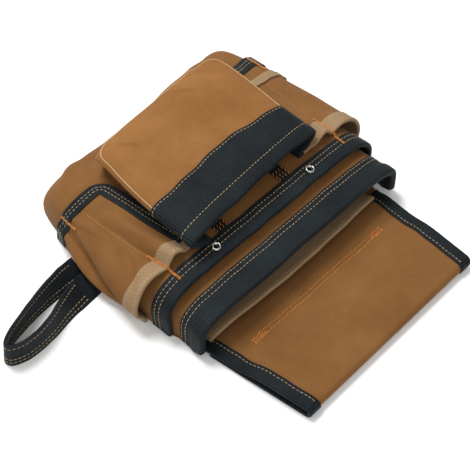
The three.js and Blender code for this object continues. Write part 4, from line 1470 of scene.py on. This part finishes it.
along_rivet = along_mid + MID_BAND * 0.5 * PER_MM
for side, sign in (("left", -1), ("right", 1)):
    rivet_x = sign * RIVET_SPACING / 2 + RIVET_OFFSET_X
    u = body_across(rivet_x, np.array(along_rivet))
    seat, above = (to_frame(mid(u, along_rivet, 2 * GAP + WEBBING + lift)) for lift in (0, 8))
    rivet("rivet_cap_" + side, seat, unit(above - seat), "rivet_" + side)
    print("rivet", side, "at", seat.round(4))

# %% [markdown]
# ## Stitches
# A seam is one short thread again and again along a line, which is what Geometry Nodes are for. The
# guide is a bare line of points, each with the direction that faces out of the cloth. The tree walks
# the guide at the stitch pitch and lays a small lens of thread there, so pitch, length and thickness
# stay adjustable until the result is turned into a plain mesh.

# %% Turn and shape of one stitch
SWAY = 0.12


def stitch_turn(tree, given):
    """Turns a stitch out of the cloth and ahead along its seam, then by the set angle and a little."""
    out = node(tree, "GeometryNodeInputNamedAttribute", {"Name": "out"}, data_type="FLOAT_VECTOR")
    ahead = node(tree, "GeometryNodeInputTangent")
    facing = node(
        tree,
        "FunctionNodeAxesToRotation",
        {"Primary Axis": out.outputs[0], "Secondary Axis": ahead.outputs[0]},
        primary_axis="Z",
        secondary_axis="X",
    )
    sway = node(
        tree,
        "FunctionNodeRandomValue",
        {2: -SWAY, 3: SWAY, "Seed": given["Seed"]},
        data_type="FLOAT",
    )
    turned = node(tree, "ShaderNodeMath", {0: given["Turn"], 1: sway.outputs[1]}, operation="ADD")
    spin = node(tree, "ShaderNodeCombineXYZ", {"Z": turned.outputs[0]})
    swing = node(tree, "FunctionNodeEulerToRotation", {0: spin.outputs[0]})
    aim = node(
        tree,
        "FunctionNodeRotateRotation",
        {"Rotation": facing.outputs[0], "Rotate By": swing.outputs[0]},
        rotation_space="LOCAL",
    )
    return aim.outputs[0]


def stitch_shape(tree, given):
    """A ball of a few faces, drawn out to the stitch's length, width and height."""
    ball = node(tree, "GeometryNodeMeshUVSphere", {"Segments": 6, "Rings": 4, "Radius": 0.5})
    size = {"X": given["Stitch Length"], "Y": given["Thread Width"], "Z": given["Thread Height"]}
    shape = node(tree, "ShaderNodeCombineXYZ", size).outputs[0]
    return node(tree, "GeometryNodeTransform", {"Geometry": ball.outputs[0], "Scale": shape}).outputs[0]


print("stitches sway by", round(math.degrees(SWAY), 1), "degrees either way")

# %% [markdown]
# ### The tree
# It turns the guide into a curve, sets points on it at the pitch, lays a stitch on each and turns the
# lot into plain mesh, because the export drops instances. The seed is fixed, so each run is the same.

# %% Stitch tree
def stitch_tree():
    """Lays one thread at every pitch of a guide, each turned and sized a little differently."""
    tree = bpy.data.node_groups.new("stitches along a seam", "GeometryNodeTree")
    face = tree.interface
    face.new_socket("Guide", in_out="INPUT", socket_type="NodeSocketGeometry")
    for name in ("Pitch", "Stitch Length", "Thread Width", "Thread Height", "Turn", "Unevenness"):
        face.new_socket(name, in_out="INPUT", socket_type="NodeSocketFloat")
    face.new_socket("Seed", in_out="INPUT", socket_type="NodeSocketInt")
    face.new_socket("Thread", in_out="INPUT", socket_type="NodeSocketMaterial")
    face.new_socket("Stitches", in_out="OUTPUT", socket_type="NodeSocketGeometry")
    given = node(tree, "NodeGroupInput").outputs
    curve = node(tree, "GeometryNodeMeshToCurve", {"Mesh": given["Guide"]}).outputs[0]
    step = {"Curve": curve, "Length": given["Pitch"]}
    walk = node(tree, "GeometryNodeResampleCurve", step, mode="LENGTH")
    less = node(tree, "ShaderNodeMath", {0: 1.0, 1: given["Unevenness"]}, operation="SUBTRACT")
    more = node(tree, "ShaderNodeMath", {0: 1.0, 1: given["Unevenness"]}, operation="ADD")
    size = node(
        tree,
        "FunctionNodeRandomValue",
        {"Min": less.outputs[0], "Max": more.outputs[0], "Seed": given["Seed"]},
        data_type="FLOAT_VECTOR",
    )
    laid = node(
        tree,
        "GeometryNodeInstanceOnPoints",
        {
            "Points": walk.outputs[0],
            "Instance": stitch_shape(tree, given),
            "Rotation": stitch_turn(tree, given),
            "Scale": size.outputs[0],
        },
    )
    real = node(tree, "GeometryNodeRealizeInstances", {"Geometry": laid.outputs[0]}).outputs[0]
    yarn_gaps_shaded = node(tree, "GeometryNodeSetMaterial", {"Geometry": real, "Material": given["Thread"]})
    node(tree, "NodeGroupOutput", {0: yarn_gaps_shaded.outputs[0]})
    return tree


stitches = stitch_tree()
sockets = {i.name: i.identifier for i in stitches.interface.items_tree if i.in_out == "INPUT"}
print("stitch tree inputs:", list(sockets))

# %% [markdown]
# ### Seam guides
# A row of stitches is planned on the flat, as a station and a distance on one of the surfaces above,
# so it follows every fold by itself. Projecting a drawn curve onto the mesh would work too, but it
# has to be done again each time the cloth changes. All rows of one thread end up in one piece.

# %% Seam guides
def seam(place, station, along, off=0.0):
    """Points along a row of stitches and the outward direction at each, in the frame."""
    station, along = np.broadcast_arrays(np.asarray(station, float), np.asarray(along, float))
    points = to_frame(place(station, along, np.full(station.shape, off)))
    above = to_frame(place(station, along, np.full(station.shape, off + 0.5)))
    out = above - points
    flat = np.linalg.norm(out, axis=1) < 1e-6
    out[flat] = (0, 0, 1)
    return points, unit(out)


def sew(name, seams, material, slot, pitch, length, width, height, turn=0.0, uneven=0.12, seed=1):
    """One piece holding the stitches of all given seams; sizes in millimetres."""
    points = np.concatenate([p for p, _ in seams])
    out = np.concatenate([o for _, o in seams])
    edges, start = [], 0
    for p, _ in seams:
        edges += [(start + i, start + i + 1) for i in range(len(p) - 1)]
        start += len(p)
    guide = bpy.data.meshes.new(name + " guide")
    guide.from_pydata(points.tolist(), edges, [])
    guide.attributes.new("out", "FLOAT_VECTOR", "POINT").data.foreach_set("vector", out.ravel())
    holder = bpy.data.objects.new(name + " guide", guide)
    bpy.context.scene.collection.objects.link(holder)
    modifier = holder.modifiers.new("stitches", "NODES")
    modifier.node_group = stitches
    values = {"Pitch": pitch, "Stitch Length": length, "Thread Width": width, "Thread Height": height}
    for key, value in values.items():
        modifier[sockets[key]] = value * MM
    modifier[sockets["Turn"]] = math.radians(turn)
    modifier[sockets["Unevenness"]] = uneven
    modifier[sockets["Seed"]] = seed
    modifier[sockets["Thread"]] = material
    evaluated = holder.evaluated_get(bpy.context.evaluated_depsgraph_get())
    mesh = bpy.data.meshes.new_from_object(evaluated)
    bpy.data.objects.remove(holder)
    mesh.shade_smooth()
    made = finish_piece(name, mesh, material, slot, [])
    print(name, len(mesh.polygons), "faces in", len(seams), "seams")
    return made

# %% [markdown]
# ### Cream topstitching
# Black webbing and beige tape are topstitched in cream thread, where every stitch shows. Each is
# 3.2 mm long and they lie 3.9 mm apart, so a short dark gap is seen between two. Each band has its
# rows a few millimetres in from its edge, and they wander a little with the band.

# %% Cream topstitching
TOP, TAPE_TOP = GAP + WEBBING, GAP + TAPE
seam_u = np.linspace(-0.985, 0.985, 200)
cream = [seam(main_band, seam_u, MAIN_BAND - s, TOP) for s in (2.2, 6.6)]
cream += [seam(mid_band, seam_u, MID_BAND - s, TOP) for s in (4.2, 9.2)]
pocket_u = np.linspace(-0.86, 0.86, 180)
cream += [seam(pocket_band, pocket_u, POCKET_BAND - 2.4, TOP), seam(pocket_band, pocket_u, 11.5, TOP)]
upper_stations = np.linspace(1, len(flap_run) + len(tucked_in) - 1, 100)
for side in ("left", "right"):
    cream.append(seam(flap_binding[side], upper_stations, BINDING - 3.2, TOP))
    edge_count = len(slots[side]["path"]) - 1
    for inwards in (4.0, 7.4):
        cream.append(seam(slots[side]["binding"], np.linspace(1, edge_count, 130), inwards, TOP))
loop_t = np.linspace(0.09, 0.91, 170)
for face in (1, -1):
    for share in (-0.34, -0.18, 0.34):
        cream.append(seam(loop_place, loop_t, share, face * half_thick))
for side in slots:
    for s in (2.2, 12.4):
        cream.append(seam(slots[side]["tape"], np.linspace(0.02, 0.98, 80), s, TAPE_TOP))
for s in (2.0, 12.6):
    cream.append(seam(inner_band, np.linspace(-0.95, 0.95, 120), s, TAPE_TOP))
sew("cream_topstitching", cream, cream_thread, "webbing", 3.9, 3.2, 0.62, 0.5)

# %% [markdown]
# ### Belt seam and slot seams
# The belt tunnel is closed by two rows of orange zigzag, which give a little when the belt pulls.
# Zigzag is the same thread turned by 52 degrees and laid closer together. Each side panel is divided
# into two slots by one straight row of tan thread that nearly matches the canvas.

# %% Belt seam and slot seams
BELT_ROW_Y, BELT_ROW_HALF = BELT_SEAM_Y - 2.2, 2.1
seam_x = np.linspace(-1, 1, 90)


def flap_face(x, y, off):
    """The flap's upper face; x is a share of half the belt seam."""
    wave = ripple(x, 0.5, 0.9, 0.41)
    top = tack(y + wave, panel_top(y + wave), -seam_half * FACE_PULL)
    return np.stack(np.broadcast_arrays(x * BELT_SEAM_WIDTH / 2, y + wave, top + off), -1)


belt_rows = (BELT_ROW_Y - BELT_ROW_HALF, BELT_ROW_Y + BELT_ROW_HALF)
belt_seam = [seam(flap_face, seam_x, y, 0.05) for y in belt_rows]
sew("belt_seam", belt_seam, orange_thread, "canvas", 2.5, 3.1, 0.75, 0.8, turn=52, uneven=0.25)
slot_s = np.linspace(along_slot + 20 * PER_MM, along_slot_end - 14 * PER_MM, 60)
divide = [seam(slots[side]["place"], SLOT_DIVIDE, slot_s, 0.05) for side in slots]
sew("slot_divide_seams", divide, tan_thread, "canvas", 3.2, 2.6, 0.7, 0.5)

# %% [markdown]
# ### Bartacks
# Every point that takes a pull is locked with a bartack, a tight zigzag in orange thread, here as two
# to four runs close together. They sit at the ends of the belt seam, across the slot mouths and on
# the slot bindings. Those on a slot mouth start on the middle band, climb on to the tape and run on
# over it, so their height changes on the way.

# %% Bartacks
def tack_rows(place, station, low, high, off, spread, rows):
    """Rows of tight stitches from low to high along the cloth, side by side across it."""
    along = np.linspace(low, high, 30)
    return [seam(place, station + spread * (k - (rows - 1) / 2), along, off) for k in range(rows)]


BELT_BAR_ROWS, BELT_BAR_END = (-2.6, -0.9, 0.9, 2.6), 0.85
BAR_BEFORE_MOUTH, BAR_PAST_MOUTH, BAR_CLIMB = 15, 22, 6
bars = []
for end in (-1, 1):
    for offset in BELT_BAR_ROWS:
        inner_end = end * (BELT_BAR_END + 0.012 * offset)
        bars.append(seam(flap_face, np.linspace(end, inner_end, 20), BELT_ROW_Y + offset, 0.3))
above_tape, above_band = TAPE_TOP + 0.2, TOP + 0.5 - SLOT_STAND_OFF
bar_start, bar_end = along_slot - BAR_BEFORE_MOUTH * PER_MM, along_slot + BAR_PAST_MOUTH * PER_MM
climb = smooth(along_slot - BAR_CLIMB * PER_MM, along_slot, np.linspace(bar_start, bar_end, 30))
bar_height = lerp(above_band, above_tape, climb)
for side in slots:
    bars += tack_rows(slots[side]["place"], SLOT_DIVIDE, bar_start, bar_end, bar_height, 0.012, 2)
    bars += tack_rows(slots[side]["binding"], 24.0, 0.5, 21.0, TOP + 0.2, 0.7, 2)
sew("orange_bartacks", bars, orange_thread, "canvas", 1.5, 2.3, 0.8, 0.9, turn=40, uneven=0.35, seed=3)

# %% [markdown]
# ### Zigzags on the tabs
# Each tab is crossed by three coarse orange zigzags, longer than those on canvas, because the needle
# goes through four layers of webbing there.

# %% Zigzags on the tabs
crossing = []
for side in tabs:
    for s in (1.5, 5.0, 9.5):
        crossing.append(seam(tabs[side], np.full(12, s), np.linspace(-0.46, 0.46, 12), TOP + WEBBING))
sew("orange_zigzags", crossing, orange_thread, "webbing", 2.9, 4.2, 0.7, 0.7, turn=62, seed=5)

# %% [markdown]
# ## Floor
# The pouch lies on white seamless paper, as for a catalogue picture. One large square does, since
# its far edge is never in view.

# %% Floor
FLOOR_HALF = 3.0
floor_mesh = bpy.data.meshes.new("studio_floor")
corner = [(-1, -1), (1, -1), (1, 1), (-1, 1)]
floor_mesh.from_pydata([(x * FLOOR_HALF, y * FLOOR_HALF, 0) for x, y in corner], [], [(0, 1, 2, 3)])
floor = bpy.data.objects.new("studio_floor", floor_mesh)
bpy.context.scene.collection.objects.link(floor)
paper, tree = new_material("white seamless paper")
place = node(tree, "ShaderNodeTexCoord").outputs["Object"]
grain = node(tree, "ShaderNodeTexNoise", {"Vector": place, "Scale": 6, "Detail": 2}).outputs["Fac"]
tone = {0: grain, 6: linear("F7F7F6"), 7: linear("FBFBFA")}
sheet = node(tree, "ShaderNodeMix", tone, data_type="RGBA").outputs[2]
shader = node(tree, "ShaderNodeBsdfPrincipled", {"Base Color": sheet, "Roughness": 0.9})
node(tree, "ShaderNodeOutputMaterial", {"Surface": shader.outputs[0]})
floor_mesh.materials.append(paper)
print("floor is", 2 * FLOOR_HALF, "m square")

# %% [markdown]
# ## Light
# The main light stands behind the pouch's closed end and high up, so edges facing away from the
# viewer are bright and the mouths fall into shade. A large weak light from the other side and an even
# white world lift the shadows. One lamp alone would leave the pockets black.

# %% Lights
WORLD_STRENGTH = 0.53
world = bpy.data.worlds.new("soft studio")
world.use_nodes = True
world.node_tree.nodes["Background"].inputs["Color"].default_value = linear("FFFFFF")
world.node_tree.nodes["Background"].inputs["Strength"].default_value = WORLD_STRENGTH
bpy.context.scene.world = world
bpy.context.scene.view_settings.view_transform = "Standard"


def soft_box(name, place, target, size, power):
    """A square lamp of size metres and power watts at place, facing target."""
    lamp = bpy.data.lights.new(name, "AREA")
    lamp.size, lamp.energy = size, power
    made = bpy.data.objects.new(name, lamp)
    bpy.context.scene.collection.objects.link(made)
    made.location = place
    made.rotation_euler = (Vector(target) - Vector(place)).to_track_quat("-Z", "Y").to_euler()
    return made


soft_box("key light", (0.1, 0.8, 1.6), (0, 0, 0), 0.8, 32)
soft_box("fill light", (-0.9, -1.3, 1.2), (0, 0, 0), 1.6, 12)
print("world strength", WORLD_STRENGTH)

# %% [markdown]
# ## Camera
# A long lens looks down at the pouch from its lower left, so parallel edges stay nearly parallel. Its
# angle, distance and lens come from matching the flap's corners and the bands. It could be aimed with
# a Track To constraint, but a fixed turn leaves nothing for another view to undo.

# %% Camera
CAMERA_AZIMUTH, CAMERA_ELEVATION = math.radians(-47.1), math.radians(50.3)
CAMERA_DISTANCE, FOCAL_PIXELS, FRAME_PIXELS, SENSOR_MM = 1215, 1350, 470, 36
target = to_frame(np.array([-6.0, 176.0, 0.0]))
level = math.cos(CAMERA_ELEVATION)
back = Vector((math.sin(CAMERA_AZIMUTH) * level, -math.cos(CAMERA_AZIMUTH) * level))
back = Vector((back.x, back.y, math.sin(CAMERA_ELEVATION)))
eye = bpy.data.cameras.new("catalogue camera")
eye.sensor_width = SENSOR_MM
eye.lens = SENSOR_MM * FOCAL_PIXELS / FRAME_PIXELS
camera = bpy.data.objects.new("catalogue camera", eye)
bpy.context.scene.collection.objects.link(camera)
camera.location = Vector(target) + back * CAMERA_DISTANCE * MM
camera.rotation_euler = (-back).to_track_quat("-Z", "Y").to_euler()
bpy.context.scene.camera = camera
print("camera at", [round(c, 3) for c in camera.location])
